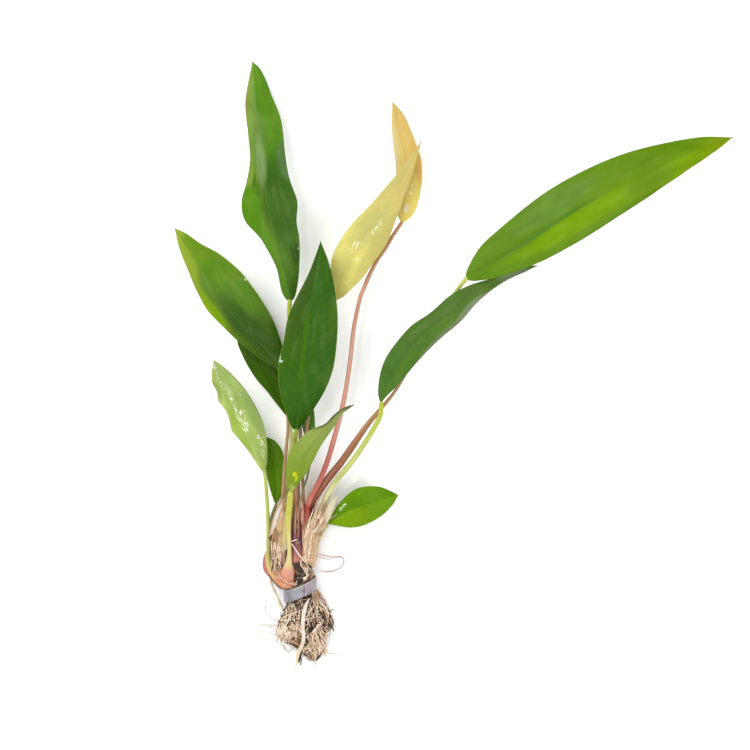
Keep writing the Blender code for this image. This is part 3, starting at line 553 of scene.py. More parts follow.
# Soft tissue round the feet of the stem bases, given in the same way.
FOOT_TISSUE = [
    (274.5, 563, 10, 1.2), (278, 571, 10.4, 3.1), (283.5, 577, 10.6, 3.6), (290, 580.6, 10.2, 3.3),
    (297, 580.5, 10, 2.2), (301, 578, 10, 1.2),
]
TISSUE_COLORS = ((206, 150, 126), (226, 138, 108), (232, 168, 124))

# The mass of tangled roots: places with half its width and half its height there, in millimetres.
ROOT_MASS = [
    (298.6, 584, 7.3, 4.7, 5), (298.8, 589, 7.3, 4.9, 5.1), (299.8, 594.3, 7.3, 5, 5.2),
    (303, 599, 7.3, 6.9, 5.4), (306.3, 603, 7.3, 8.8, 5.8), (306.8, 608.5, 7.4, 10.3, 6.5),
    (306.6, 614, 7.6, 11.3, 7.1), (306, 622, 7.4, 12.6, 6.9), (302.6, 632, 6.8, 12.4, 6.3),
    (304.7, 641, 5.9, 9.6, 5.5), (312.5, 649, 4.7, 6.1, 4.2), (313.5, 655.5, 3.3, 4, 2.8),
    (313, 660.5, 2.1, 1.8, 1.5),
]

# Where the mass is pale inside: a column, a row and how far that reaches, in pixels.
PALE_LOBES = [(286, 638, 11), (297, 643, 8), (315, 648, 13), (324, 600, 4), (323, 637, 6)]

# The dark neck under the crown's foot, given as the mass is; its near-black colours are painted shade.
NECK = [
    (298, 560, 10, 3.4, 3.4), (301, 568, 9.6, 5.2, 5.2), (301, 577, 9, 5.3, 5.3), (300, 588, 7.7, 4.6, 4.6),
]
NECK_COLORS = ((70, 44, 40), (46, 28, 28), (46, 28, 28))

# Fans of thin roots, seen from above: two corners of the area that they start in and two of the one that
# they end in, how many, how far they stray in pixels, and the range of their tone, dark (0) to pale (1).
ROOT_FANS = [
    ((286, 608), (302, 622), (276, 626), (297, 643), 26, 1.5, (0.5, 1.0)),
    ((287, 606), (302, 618), (284, 616), (301, 630), 36, 1.3, (0.0, 0.2)),
    ((284, 624), (298, 632), (276, 634), (297, 644), 26, 1.8, (0.6, 1.0)),
    ((288, 604), (302, 616), (280, 618), (300, 636), 7, 1.8, (0.9, 1.0)),
    ((279, 620), (288, 630), (272, 632), (290, 646), 20, 1.8, (0.6, 1.0)),
    ((304, 630), (322, 638), (303, 645), (327, 657), 32, 2.2, (0.4, 1.0)),
    ((303, 634), (306, 640), (303, 644), (307, 652), 6, 0.8, (0.0, 0.1)),
    ((308, 642), (320, 650), (304, 646), (326, 655), 24, 2.8, (0.6, 1.0)),
    ((288, 600), (303, 600), (286, 612), (304, 620), 13, 0.8, (0.6, 0.95)),
    ((288, 601), (303, 603), (290, 612), (306, 618), 8, 0.8, (0.0, 0.15)),
    ((280, 617), (284, 622), (299, 612), (304, 617), 6, 0.8, (0.75, 0.95)),
    ((292, 618), (297, 622), (286, 630), (302, 634), 6, 1.0, (0.8, 1.0)),
    ((313, 590), (319, 595), (318, 606), (327, 613), 9, 1.0, (0.5, 0.95)),
    ((306, 597), (318, 602), (316, 616), (334, 632), 11, 2.0, (0.5, 1.0)),
    ((306, 599), (318, 609), (312, 616), (331, 630), 26, 2.0, (0.0, 0.15)),
    ((308, 600), (322, 612), (306, 620), (328, 634), 7, 2.2, (0.9, 1.0)),
    ((312, 600), (320, 606), (298, 616), (312, 634), 9, 2.0, (0.45, 0.9)),
    ((304, 606), (308, 630), (322, 602), (333, 626), 11, 1.6, (0.6, 1.0)),
    ((304, 610), (308, 630), (322, 606), (333, 630), 18, 1.4, (0.0, 0.15)),
    ((322, 612), (331, 620), (323, 624), (334, 632), 14, 1.6, (0.0, 0.2)),
    ((316, 622), (328, 628), (314, 633), (329, 640), 20, 2.0, (0.55, 1.0)),
    ((312, 589), (319, 592), (314, 600), (327, 606), 22, 1.0, (0.25, 0.9)),
    ((303, 644), (306, 646), (309, 652), (316, 657), 4, 0.8, (0.9, 1.0)),
]

NECK_FANS = [
    ((303, 555), (311, 561), (303, 570), (312, 580), 14, 1.1, (0.75, 1.0)),
    ((290, 583), (297, 588), (302, 574), (310, 581), 18, 0.8, (0.75, 1.0)),
    ((292, 583), (297, 587), (302, 576), (308, 581), 6, 0.7, (0.0, 0.2)),
    ((300, 579), (304, 585), (306, 572), (313, 578), 12, 0.8, (0.5, 0.95)),
    ((301, 560), (305, 563), (304, 566), (309, 571), 8, 0.9, (0.8, 1.0)),
    ((294, 566), (298, 570), (300, 572), (306, 578), 3, 0.9, (0.2, 0.5)),
    ((308, 563), (313, 572), (306, 574), (314, 583), 18, 1.2, (0.25, 0.9)),
]

# Roots that stand out from the mass: places with a radius in millimetres.
THICK_ROOTS = {
    "root_left": [
        (269, 572, 5, 0.5), (271, 581, 5, 0.66), (274.6, 591, 5.1, 0.66), (278.4, 600, 5.4, 0.7),
        (281.2, 607, 6, 0.75), (287, 612, 6.6, 0.55),
    ],
    "root_front": [
        (309.8, 597.5, 13.4, 0.7), (306.3, 604.5, 14.4, 0.85), (304, 613, 15, 0.9), (303.2, 624, 14.6, 0.95),
        (303.9, 636, 12.7, 0.95), (302, 644.5, 9.8, 0.9), (299.3, 651, 6.4, 0.85), (297.6, 657, 3.6, 0.8),
        (296.6, 663.5, 1.7, 0.75), (295.2, 669.5, 0.6, 0.45),
    ],
    "root_right": [
        (331.5, 612, 8.6, 0.5), (325.5, 618, 11.4, 0.62), (318.5, 625.5, 13.4, 0.62),
        (312, 632.5, 13.3, 0.5),
    ],
    "root_loop": [
        (316.8, 553.5, 5, 0.3), (330, 556.5, 3, 0.3), (340, 556.5, 1.2, 0.3), (343.8, 561, 0.5, 0.3),
        (341, 567, 0.5, 0.3), (335, 570.5, 0.5, 0.3), (328, 571.8, 0.9, 0.3), (321, 571, 1.6, 0.3),
    ],
}

# Their colours, plain skin and stains, and the seed of their crooks.
ROOT_LOOKS = {
    "root_left": ((255, 246, 222), (232, 206, 168), 0),
    "root_front": ((252, 240, 228), (236, 208, 186), 1),
    "root_right": ((250, 230, 222), (224, 184, 170), 2),
    "root_loop": ((236, 208, 200), (196, 144, 146), 9),
}

# Wisps: half a width in millimetres, a tone and the places.
THIN_ROOTS = [
    (0.2, 0.8, [(266.5, 599, 0.5), (265.3, 611, 0.5), (271, 617, 0.9), (278, 621, 2), (286, 622, 4)]),
    (0.18, 0.8, [
        (288, 627, 4), (278, 625.5, 2), (268, 624, 1), (259, 626, 0.6), (253.4, 631, 0.5),
        (256.5, 634.2, 0.5), (265, 634, 0.8), (276, 630.5, 2), (287, 629, 4),
    ]),
    (0.16, 0.7, [(256.5, 622.5, 0.4), (264, 625.5, 0.6), (272, 626, 1), (282, 624, 3)]),
    (0.17, 0.66, [(291, 654, 0.5), (285, 650, 0.6), (280.5, 643.5, 1), (282, 638, 2), (289, 634, 4)]),
    (0.17, 0.66, [(343.5, 655, 0.5), (336, 654, 0.5), (328, 653, 0.9), (319, 650, 2.5)]),
    (0.26, 1.0, [(308, 676, 0.5), (313, 671.5, 0.5), (315.5, 664, 0.7), (313, 656, 1.6)]),
    (0.24, 1.0, [(300, 640, 5), (294, 648, 2.4), (287, 650, 0.8), (283, 645, 0.6)]),
    (0.36, 0.86, [(292, 600, 12.4), (287.5, 604.5, 9.6), (283, 609, 6.8)]),
    (0.5, 0.04, [(304, 641, 10.8), (302.6, 647, 8.4), (301, 653, 5.4), (300, 658, 3), (299, 662, 1.2)]),
    (0.3, 0.1, [(300.6, 655, 4.6), (301.4, 660, 2.4), (300.4, 665, 0.8)]),
    (0.16, 0.5, [(317, 556, 4.6), (325, 559, 2.4), (333, 558.6, 1.2), (341, 556, 0.6)]),
]

# The colours of each stem's base, in sRGB: where the stem enters it, halfway and at its foot.
BASE_LOOKS = {
    "pale_underside": ((204, 206, 100), (236, 208, 138), (226, 150, 108)),
    "small_dark": ((186, 176, 110), (214, 176, 140), (206, 140, 112)),
    "left": ((206, 178, 140), (200, 172, 116), (180, 128, 116)),
    "hidden_left": ((200, 186, 110), (176, 140, 96), (142, 104, 106)),
    "pale_centre": ((204, 206, 72), (238, 222, 150), (234, 162, 138)),
    "front": ((180, 136, 106), (132, 76, 90), (222, 146, 132)),
    "hidden_middle": ((184, 126, 98), (122, 66, 78), (134, 76, 90)),
    "tall": ((168, 112, 84), (150, 100, 92), (214, 150, 124)),
    "yellow": ((196, 136, 106), (196, 136, 124), (226, 150, 124)),
    "orange": ((188, 78, 66), (226, 170, 134), (240, 196, 156)),
    "long_right": ((176, 76, 58), (238, 192, 150), (238, 192, 148)),
    "folded_right": ((236, 230, 184), (244, 222, 178), (240, 200, 158)),
    "small_right": ((224, 206, 150), (242, 214, 170), (230, 186, 140)),
}

# Where along a base its last colour sets in, and where it does so on the bases that differ.
USUAL_TURN = (0.5, 0.95)
COLOR_TURNS = {
    "base_of_pale_centre": (0.72, 0.84), "base_of_pale_underside": (0.42, 0.72), "base_of_front": (0.6, 1.0),
}

# Papery remains of old sheaths: one edge, then the other, from the foot to the ragged top, their colours at
# the foot, halfway and at the top, and how deep the top is torn, as a share of the sheath's length.
SHEATHS = {
    "sheath_left": {
        "edges": (
            [(268.8, 537.5, 11), (271, 530, 12), (273.4, 519, 13), (276.5, 510, 13.5), (281, 501, 13.9),
             (286, 496.5, 14)],
            [(275.5, 531, 13.4), (277.8, 520, 14.3), (280, 512.5, 14.5), (282.4, 506.5, 14.5),
             (285.4, 500.5, 14.4), (288.4, 497, 14.2)],
        ),
        "colors": ((232, 216, 194), (240, 234, 224), (226, 186, 146)), "tear": 0.04,
    },
    "sheath_inner": {
        "edges": (
            [(279.5, 563, 14.2), (278.4, 552, 14.6), (276, 540, 14.2), (274.4, 530, 13.4), (279, 518, 14.6),
             (283, 508, 14.7)],
            [(285, 564, 14.4), (286, 552, 15), (286.6, 540, 15.2), (286.8, 530, 15.2), (287.2, 518, 15.2),
             (287.6, 508, 15)],
        ),
        "colors": ((160, 104, 106), (210, 178, 122), (222, 180, 140)), "tear": 0.1,
    },
    "sheath_tongue": {
        "edges": (
            [(284.6, 549, 15.3), (283.6, 540, 15.5), (283.2, 530, 15.5), (284.2, 518, 15.4),
             (285.4, 506, 15.2)],
            [(287, 549, 15.4), (287, 540, 15.6), (287, 530, 15.7), (287.2, 518, 15.7), (287.6, 506, 15.5)],
        ),
        "colors": ((232, 214, 156), (220, 212, 122), (216, 204, 130)), "tear": 0.2,
    },
    "sheath_middle": {
        "edges": (
            [(301.5, 525, 15.6), (301, 520, 15.9), (301, 515, 16), (301.5, 509, 15.8), (302.5, 501, 15.6)],
            [(304.6, 524, 15.2), (304.4, 520, 15.5), (304.2, 515, 15.6), (304, 509, 15.6),
             (303.4, 500.5, 15.6)],
        ),
        "colors": ((196, 112, 104), (222, 142, 122), (214, 132, 112)), "tear": 0.15,
    },
    "sheath_right": {
        "edges": (
            [(304, 562, 14.4), (304.4, 549, 15.2), (304, 539, 15.6), (307.5, 530, 15.5), (311.5, 521, 15.2),
             (315, 512, 14.8), (318, 503, 14.2)],
            [(309, 562, 13.6), (310.6, 549, 14), (312.2, 538, 14.2), (315, 528, 14), (318.5, 518, 13.6),
             (321.8, 508, 13.2), (325, 498, 12.6)],
        ),
        "colors": ((236, 178, 136), (236, 190, 144), (242, 214, 164)), "tear": 0.35,
    },
    "sheath_outer": {
        "edges": (
            [(308, 562, 13.4), (309.6, 549, 14), (311.6, 538, 14), (315, 527, 13.6), (319, 517, 13)],
            [(313.4, 562, 10.4), (315, 549, 10.8), (317.6, 538, 11), (321.5, 528, 11), (326, 517, 11)],
        ),
        "colors": ((234, 186, 142), (238, 196, 150), (246, 226, 180)), "tear": 0.4,
    },
    "sheath_far": {
        "edges": (
            [(319, 531, 10), (321.5, 523, 11), (325, 514, 11.4), (329, 504, 11.8), (334, 494, 12)],
            [(323, 530, 8.4), (327, 523, 9.6), (331, 514.5, 10.6), (335.5, 505, 11.2), (340, 496, 11.4)],
        ),
        "colors": ((240, 218, 176), (246, 232, 192), (246, 236, 200)), "tear": 0.3,
    },
    "sheath_brown": {
        "edges": (
            [(274.5, 532, 12.8), (277, 520, 13.9), (279.4, 512.5, 14.1), (282, 506.5, 14.2),
             (285, 500.5, 14.1)],
            [(284.4, 533, 15), (284.8, 520, 15), (285.4, 512, 14.9), (286.2, 506, 14.7),
             (287.4, 500.6, 14.4)],
        ),
        "colors": ((204, 160, 124), (208, 166, 118), (218, 162, 116)), "tear": 0.08,
    },
}

# Loose fibres at the crown: places with a radius in millimetres, and a tone from dark (0) to pale (1).
CROWN_FIBRES = [
    ([(292, 543, 15.9, 0.26), (296, 549, 16.2, 0.3), (300, 555, 16, 0.3), (305, 561, 15, 0.2)], 1.0),
    ([(292, 541, 15.9, 0.2), (295, 539.5, 16.1, 0.26), (298, 539, 15.8, 0.16)], 1.0),
    ([(303, 556, 15.6, 0.2), (307, 559, 15, 0.26), (312, 559, 12.8, 0.2)], 0.9),
    ([(316, 538, 10.8, 0.3), (322, 536, 9, 0.2), (329, 537, 7, 0.18), (335, 541, 5, 0.12)], 0.75),
    ([(314, 548, 10, 0.24), (320, 549, 8, 0.18), (326, 546, 6, 0.12)], 0.8),
    ([(318, 532, 11, 0.3), (325, 522, 10, 0.22), (333, 512, 8.8, 0.18), (339, 502, 7.5, 0.12)], 0.8),
    ([(319, 528, 11.4, 0.3), (324, 516, 11.6, 0.22), (331, 504, 11, 0.18), (338, 495, 9.8, 0.12)], 0.85),
    ([(321, 524, 11.2, 0.26), (329, 519, 9.8, 0.2), (337, 514, 8.6, 0.12)], 0.75),
    ([(312, 520, 14.2, 0.3), (317, 508, 14.2, 0.24), (323, 496, 13.8, 0.12)], 0.9),
    ([(306, 535, 15, 0.26), (309, 522, 15.2, 0.3), (314, 508, 15, 0.14)], 1.0),
    ([(286, 496.5, 14.4, 0.14), (281, 501, 14.2, 0.3), (276.4, 510, 13.8, 0.3), (273.2, 519, 13.3, 0.24),
      (268.8, 537.5, 11.3, 0.2)], 0.5),
    ([(284, 516.6, 15.1, 0.12), (279, 524, 14.5, 0.24), (274, 532, 13.4, 0.28), (268.6, 538, 11.4, 0.3)],
     0.2),
    ([(282.6, 497, 14.6, 0.2), (284, 508, 15.2, 0.24), (283, 520, 15.5, 0.2), (282, 534, 15.2, 0.14)], 0.4),
    ([(264.8, 567, 8.6, 0.2), (271.4, 577.6, 10.4, 0.34), (279.6, 586.6, 11.4, 0.34),
      (289, 589, 12.6, 0.26)], 0.12),
    ([(271.6, 565, 11.2, 0.12), (276, 575, 12.9, 0.2), (282, 582, 13.4, 0.2), (290, 585.6, 12.9, 0.12)],
     0.3),
    ([(273, 563, 12, 0.12), (277, 572, 14, 0.18), (283, 579, 14.4, 0.2), (291, 582.6, 13.6, 0.12)], 0.45),
    ([(272.4, 567, 11.6, 0.12), (277.4, 577, 13.2, 0.16), (284, 584, 13.2, 0.16), (293, 587, 12.8, 0.1)],
     0.9),
    ([(276, 566, 13.6, 0.1), (280, 575, 14.4, 0.15), (286, 581, 14.4, 0.15), (296, 584, 12.9, 0.1)], 0.8),
    ([(289, 588.6, 13, 0.3), (297, 586, 13.6, 0.34), (304, 582, 13.6, 0.3), (311, 577, 12.6, 0.2)], 0.2),
]

# The upper side of the crown, given as the root mass is, and the fans of fibres on it.
CROWN_TOP = [
    (295, 495, 11, 15, 4.4), (294, 520, 11, 14, 4.8), (292, 540, 11, 14, 5), (291, 560, 10.6, 13, 4.9),
    (291, 580, 10, 12.6, 4.4),
]
CROWN_FANS = [
    ((272, 545), (278, 566), (272, 552), (278, 573), 30, 1.2, (0.0, 0.25)),
    ((271.5, 540), (280, 562), (272, 554), (281, 573), 44, 1.2, (0.45, 1.0)),
    ((274, 528), (285, 540), (272, 534), (284, 548), 12, 0.8, (0.35, 0.7)),
    ((303.5, 545), (313, 561), (304, 527), (316, 545), 30, 0.6, (0.5, 0.9)),
    ((303, 534), (308, 539), (315, 503), (322, 514), 16, 0.8, (0.75, 1.0)),
    ((305, 533), (312, 541), (317, 500), (328, 512), 24, 0.8, (0.35, 0.95)),
    ((308, 536), (317, 541), (321, 505), (331, 518), 16, 0.9, (0.4, 0.9)),
    ((295, 500), (300, 512), (294, 528), (299, 536), 8, 0.5, (0.3, 0.6)),
    ((316, 519), (318, 521), (319, 518), (320, 520), 5, 0.5, (0.0, 0.05)),
    ((299, 557), (307, 561), (303, 567), (312, 573), 5, 0.8, (0.5, 0.8)),
]


def place(column, row, height):
    """A point over the surface, in metres, from a column and a row in pixels and a height in millimetres."""
    return Vector(((column - CENTRE_COLUMN) * PIXEL, (CENTRE_ROW - row) * PIXEL, height * MM))


def places(stations):
    """The points of several stations, whatever follows their first three values."""
    return [place(*station[:3]) for station in stations]


def smooth_line(points, count):
    """Points on a smooth curve through the given ones, count + 1 of them at even distances, as an array."""
    knots = np.array([list(point) for point in points], float)
    padded = np.vstack([2 * knots[0] - knots[1], knots, 2 * knots[-1] - knots[-2]])
    steps = np.linspace(0, 1, 24, endpoint=False)[:, None]
    fine = []
    for index in range(1, len(padded) - 2):
        before, start, end, after = padded[index - 1:index + 3]
        fine.append(0.5 * (
            2 * start
            + (end - before) * steps
            + (2 * before - 5 * start + 4 * end - after) * steps ** 2
            + (3 * start - before - 3 * end + after) * steps ** 3
        ))
    fine = np.vstack(fine + [padded[-2:-1]])
    return even_points(fine, count)


def even_points(line, count):
    """count + 1 points at even distances along a line of points."""
    lengths = np.concatenate([[0], np.cumsum(np.linalg.norm(np.diff(line, axis=0), axis=1))])
    wanted = np.linspace(0, lengths[-1], count + 1)
    return np.stack([np.interp(wanted, lengths, line[:, axis]) for axis in range(3)], axis=1)


def values_along(points, values, count):
    """Values known at the points of a line, read at count + 1 even distances along it."""
    knots = np.array([list(point) for point in points], float)
    lengths = np.concatenate([[0], np.cumsum(np.linalg.norm(np.diff(knots, axis=0), axis=1))])
    return np.interp(np.linspace(0, lengths[-1], count + 1), lengths, values)


def tapered_line(stations, count):
    """A smooth line through places with radii, and its radii in metres, both at count + 1 even distances."""
    points = places(stations)
    radii = values_along(points, [station[3] * MM for station in stations], count)
    return smooth_line(points, count), radii


def slimmer(stations, share):
    """The same places with a share of their radii."""
    return [(*station[:3], station[3] * share) for station in stations]


def linear(color):
    """A skin's linear colour, from the sRGB values that it shows under the lamps; 255 is plain white."""
    shares = [value / 255 for value in color]
    plain = [share / 12.92 if share <= 0.04045 else ((share + 0.055) / 1.055) ** 2.4 for share in shares]
    return [value / WHITE_LIGHT for value in plain]


class Paint:
    """A Principled material in the making, with short ways to add the nodes that colour it."""

    def __init__(self, name, roughness, specular, metallic=0.0, coat=0.0, soft=0.0):
        self.material = bpy.data.materials.new(name)
        self.material.use_nodes = True
        self.tree = self.material.node_tree
        self.shader = self.tree.nodes["Principled BSDF"]
        self.shader.inputs["Roughness"].default_value = roughness
        self.shader.inputs["Metallic"].default_value = metallic
        self.shader.inputs["Specular IOR Level"].default_value = specular
        self.shader.inputs["Coat Weight"].default_value = coat
        self.shader.inputs["Subsurface Weight"].default_value = soft
        self.shader.inputs["Subsurface Radius"].default_value = (1.0, 0.8, 0.4)
        self.shader.inputs["Subsurface Scale"].default_value = 0.8 * MM
        self.place = self.tree.nodes.new("ShaderNodeTexCoord").outputs["Object"]

    def link(self, value, socket):
        """Connect an output to a socket, or set the socket to a plain value."""
        if isinstance(value, bpy.types.NodeSocket):
            self.tree.links.new(value, socket)
        elif isinstance(value, (tuple, list)):
            socket.default_value = (*value[:3], 1.0) if len(socket.default_value) == 4 else value
        else:
            socket.default_value = value

    def attribute(self, name):
        """A number stored on the mesh."""
        node = self.tree.nodes.new("ShaderNodeAttribute")
        node.attribute_name = name
        return node.outputs["Fac"]

    def noise(self, scale, detail=3.0, stretch=(1, 1, 1), place=None):
        """Soft noise from 0 to 1; scale counts its lumps in a metre."""
        mapping = self.tree.nodes.new("ShaderNodeMapping")
        mapping.inputs["Scale"].default_value = stretch
        self.link(place or self.place, mapping.inputs["Vector"])
        node = self.tree.nodes.new("ShaderNodeTexNoise")
        node.inputs["Scale"].default_value = scale
        node.inputs["Detail"].default_value = detail
        self.link(mapping.outputs["Vector"], node.inputs["Vector"])
        return node.outputs["Fac"]

    def joined(self, x, y, z=0.0):
        """A vector from three numbers."""
        node = self.tree.nodes.new("ShaderNodeCombineXYZ")
        self.link(x, node.inputs["X"])
        self.link(y, node.inputs["Y"])
        self.link(z, node.inputs["Z"])
        return node.outputs["Vector"]

    def math(self, operation, first, second=0.0):
        """One sum on two numbers."""
        node = self.tree.nodes.new("ShaderNodeMath")
        node.operation = operation
        self.link(first, node.inputs[0])
        self.link(second, node.inputs[1])
        return node.outputs["Value"]

    def span(self, value, low, high, start=0.0, end=1.0):
        """start below low, end above high, and a smooth step between."""
        node = self.tree.nodes.new("ShaderNodeMapRange")
        node.interpolation_type = "SMOOTHSTEP"
        self.link(value, node.inputs["Value"])
        node.inputs["From Min"].default_value = low
        node.inputs["From Max"].default_value = high
        node.inputs["To Min"].default_value = start
        node.inputs["To Max"].default_value = end
        return node.outputs["Result"]

    def mix(self, share, first, second):
        """One colour laid over another by a share."""
        node = self.tree.nodes.new("ShaderNodeMix")
        node.data_type = "RGBA"
        self.link(share, node.inputs["Factor"])
        self.link(first, node.inputs["A"])
        self.link(second, node.inputs["B"])
        return node.outputs["Result"]

    def over(self, body, color, value, low, high, share=1.0):
        """A colour laid over the body as a value goes from low to high, by up to the share."""
        return self.mix(self.span(value, low, high, 0.0, share), body, color)

    def three_colors(self, along, colors, first_turn, second_turn):
        """Three sRGB colours one after the other, with the ranges in which each turns into the next."""
        start, middle, end = [linear(color) for color in colors]
        return self.over(self.over(start, middle, along, *first_turn), end, along, *second_turn)

    def color(self, value):
        """Set the base colour."""
        self.link(value, self.shader.inputs["Base Color"])

    def rough(self, value):
        """Let the roughness vary."""
        self.link(value, self.shader.inputs["Roughness"])

    def bump(self, height, distance, strength=1.0):
        """Fine relief, with its height in metres."""
        node = self.tree.nodes.new("ShaderNodeBump")
        node.inputs["Strength"].default_value = strength
        node.inputs["Distance"].default_value = distance
        self.link(height, node.inputs["Height"])
        self.link(node.outputs["Normal"], self.shader.inputs["Normal"])


def mesh_piece(name, points, faces, attributes, material, slot, *nodes):
    """A smooth-shaded piece of the plant that rides on its one body and stands for CAD nodes."""
    mesh = bpy.data.meshes.new(name)
    mesh.from_pydata([tuple(point) for point in points], [], [tuple(face) for face in faces])
    for key, values in attributes.items():
        layer = mesh.attributes.new(key, "FLOAT", "POINT")
        layer.data.foreach_set("value", np.asarray(values, np.float32))
    mesh.validate()
    mesh.shade_smooth()
    mesh.materials.append(material)
    piece = bpy.data.objects.new(name, mesh)
    bpy.context.scene.collection.objects.link(piece)
    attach(piece, "root")
    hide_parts(*nodes)


def unit(vectors):
    """Vectors scaled to length one."""
    return vectors / np.maximum(np.linalg.norm(vectors, axis=-1, keepdims=True), 1e-12)


def tube_arrays(line, radii, sides, squash=1.0, groove=0.0):
    """The points and faces of a closed tube along a line; squash flattens it, groove hollows its top."""
    line = np.asarray(line, float)
    radii = np.broadcast_to(np.asarray(radii, float), (len(line),))
    along = unit(np.gradient(line, axis=0))
    level = np.empty_like(along)
    across = np.cross(along[0], [0, 0, 1])
    if np.linalg.norm(across) < 1e-6:
        across = np.array([1.0, 0, 0])
    for index, direction in enumerate(along):
        across = across - direction * across.dot(direction)
        across /= max(np.linalg.norm(across), 1e-12)
        level[index] = across
    upright = np.cross(level, along)
    turns = np.linspace(0, 2 * math.pi, sides, endpoint=False)
    reach = 1 - groove * np.exp(-((turns - math.pi / 2) / 0.5) ** 2)
    ring = level[:, None] * (np.cos(turns) * reach)[None, :, None]
    ring = ring + upright[:, None] * (np.sin(turns) * reach)[None, :, None] * squash
    points = (line[:, None] + ring * radii[:, None, None]).reshape(-1, 3)
    return points, tube_faces(len(line), sides)


def tube_faces(rings, sides):
    """The faces of a closed tube, from its rings of points."""
    faces = []
    for ring in range(rings - 1):
        for side in range(sides):
            following = (side + 1) % sides
            first = ring * sides
            second = first + sides
            faces.append((first + side, first + following, second + following, second + side))
    faces.append(tuple(reversed(range(sides))))
    faces.append(tuple(range((rings - 1) * sides, rings * sides)))
    return faces


class Bundle:
    """Many tubes joined in one mesh, each with a tone from dark (0) to pale (1)."""

    def __init__(self):
        self.points = []
        self.faces = []
        self.tones = []
        self.count = 0

    def add(self, line, radii, sides, tone):
        """Put in one more tube."""
        points, faces = tube_arrays(line, radii, sides)
        self.points.append(points)
        self.faces += [tuple(corner + self.count for corner in face) for face in faces]
        self.tones.append(np.full(len(points), tone))
        self.count += len(points)

    def piece(self, name, material, slot, *nodes):
        """Make the piece from all the tubes."""
        tones = {"tone": np.concatenate(self.tones)}
        mesh_piece(name, np.vstack(self.points), self.faces, tones, material, slot, *nodes)


def soft_noise(point, size, seed):
    """Smooth noise from -1 to 1 at a point, with lumps of the given size."""
    return noise.noise(Vector(point) / size + Vector((seed * 17.3, seed * 5.1, seed * 9.7)))


def blade_grid(leaf, rows, half):
    """The blade's middle sheet as an array of points, with the side of the midrib for each column."""
    base = leaf["midrib"][0]
    tip = leaf["midrib"][-1]
    midrib = smooth_line(places(leaf["midrib"]), rows)
    margins = []
    for side in ("left", "right"):
        margins.append(smooth_line(places([base, *leaf[side], tip]), rows))
    across = np.linspace(-1, 1, 2 * half + 1)
    along = np.gradient(midrib, axis=0)
    leftward = unit(np.cross([0, 0, 1], along))
    grid = np.empty((rows + 1, 2 * half + 1, 3))
    for column, share in enumerate(across):
        side = 0 if share < 0 else 1
        out = margins[side] - midrib
        length = np.linalg.norm(out, axis=1, keepdims=True)
        least = leftward * (TIP_HALF_WIDTH if side == 0 else -TIP_HALF_WIDTH)
        blend = np.clip(1 - length / TIP_HALF_WIDTH, 0, 1)
        out = out * (1 - blend) + least * blend
        length = np.linalg.norm(out, axis=1, keepdims=True)
        rise = BLADE_ARCH * length * math.sin(math.pi * abs(share))
        grid[:, column] = midrib + out * abs(share) + rise * np.array([0, 0, 1])
    return grid, across


def surface_normals(grid):
    """Unit normals of a grid of points, pointing up."""
    normals = np.cross(np.gradient(grid, axis=0), np.gradient(grid, axis=1))
    normals = unit(normals)
    normals[normals[..., 2] < 0] *= -1
    return normals


def blade_relief(grid, along, look, seed):
    """How far each point of the blade's face rises: its midrib, soft waves and wrinkles, in metres."""
    rows, columns = grid.shape[:2]
    from_rib = np.linalg.norm(grid - grid[:, columns // 2:columns // 2 + 1], axis=2)
    sign = 1 if look.get("under") else -1
    body = np.clip(np.minimum(along, 1 - along) / 0.06, 0, 1)
    relief = sign * RIB_HEIGHT * np.exp(-(from_rib / RIB_HALF_WIDTH) ** 2) * (1 - 0.6 * along)
    wrinkle = look.get("wrinkle", 0) * WRINKLE_HEIGHT
    for row in range(rows):
        for column in range(columns):
            point = grid[row, column]
            relief[row, column] += WAVE_HEIGHT * soft_noise(point, WAVE_SIZE, seed) * body[row, column]
            if wrinkle:
                creased = abs(soft_noise(point, WRINKLE_SIZE, seed + 3))
                relief[row, column] += wrinkle * creased * body[row, column]
    return relief


def blade(name, leaf, look, seed):
    """A leaf's blade: a thin closed sheet with a midrib, side veins and soft waves."""
    short = len(leaf["midrib"]) <= SHORT_BLADE_KNOTS
    rows, half = SHORT_BLADE_STEPS if short else LONG_BLADE_STEPS
    grid, across = blade_grid(leaf, rows, half)
    columns = len(across)
    along = np.linspace(0, 1, rows + 1)[:, None] * np.ones(columns)
    grid = grid + surface_normals(grid) * blade_relief(grid, along, look, seed)[..., None]
    normals = surface_normals(grid)
    thickness = BLADE_THICKNESS / 2 * (1 - 0.75 * np.abs(across) ** 8)
    points = sheet_points(grid, normals * thickness[None, :, None])
    rib = grid[:, half:half + 1]
    length = np.sum(np.linalg.norm(np.diff(rib[:, 0], axis=0), axis=1))
    attributes = {
        "along": np.tile(along.ravel(), 2),
        "across": np.tile(across, 2 * (rows + 1)),
        "from_rib": np.tile(np.linalg.norm(grid - rib, axis=2).ravel() / MM, 2),
        "run": np.tile(along.ravel() * length / MM, 2),
    }
    faces = sheet_faces(rows + 1, columns)
    first = grid[1, half] - grid[0, half]
    side = grid[rows // 2, -1] - grid[rows // 2, 0]
    if np.cross(side, first)[2] < 0:
        faces = [tuple(reversed(face)) for face in faces]
    material = blade_material(name, look)
    mesh_piece(name + "_blade", points, faces, attributes, material, look["slot"], "blade_" + name)


def sheet_points(grid, lift):
    """The points of a closed sheet: those over its middle grid, then those under it."""
    return np.vstack([(grid + lift).reshape(-1, 3), (grid - lift).reshape(-1, 3)])


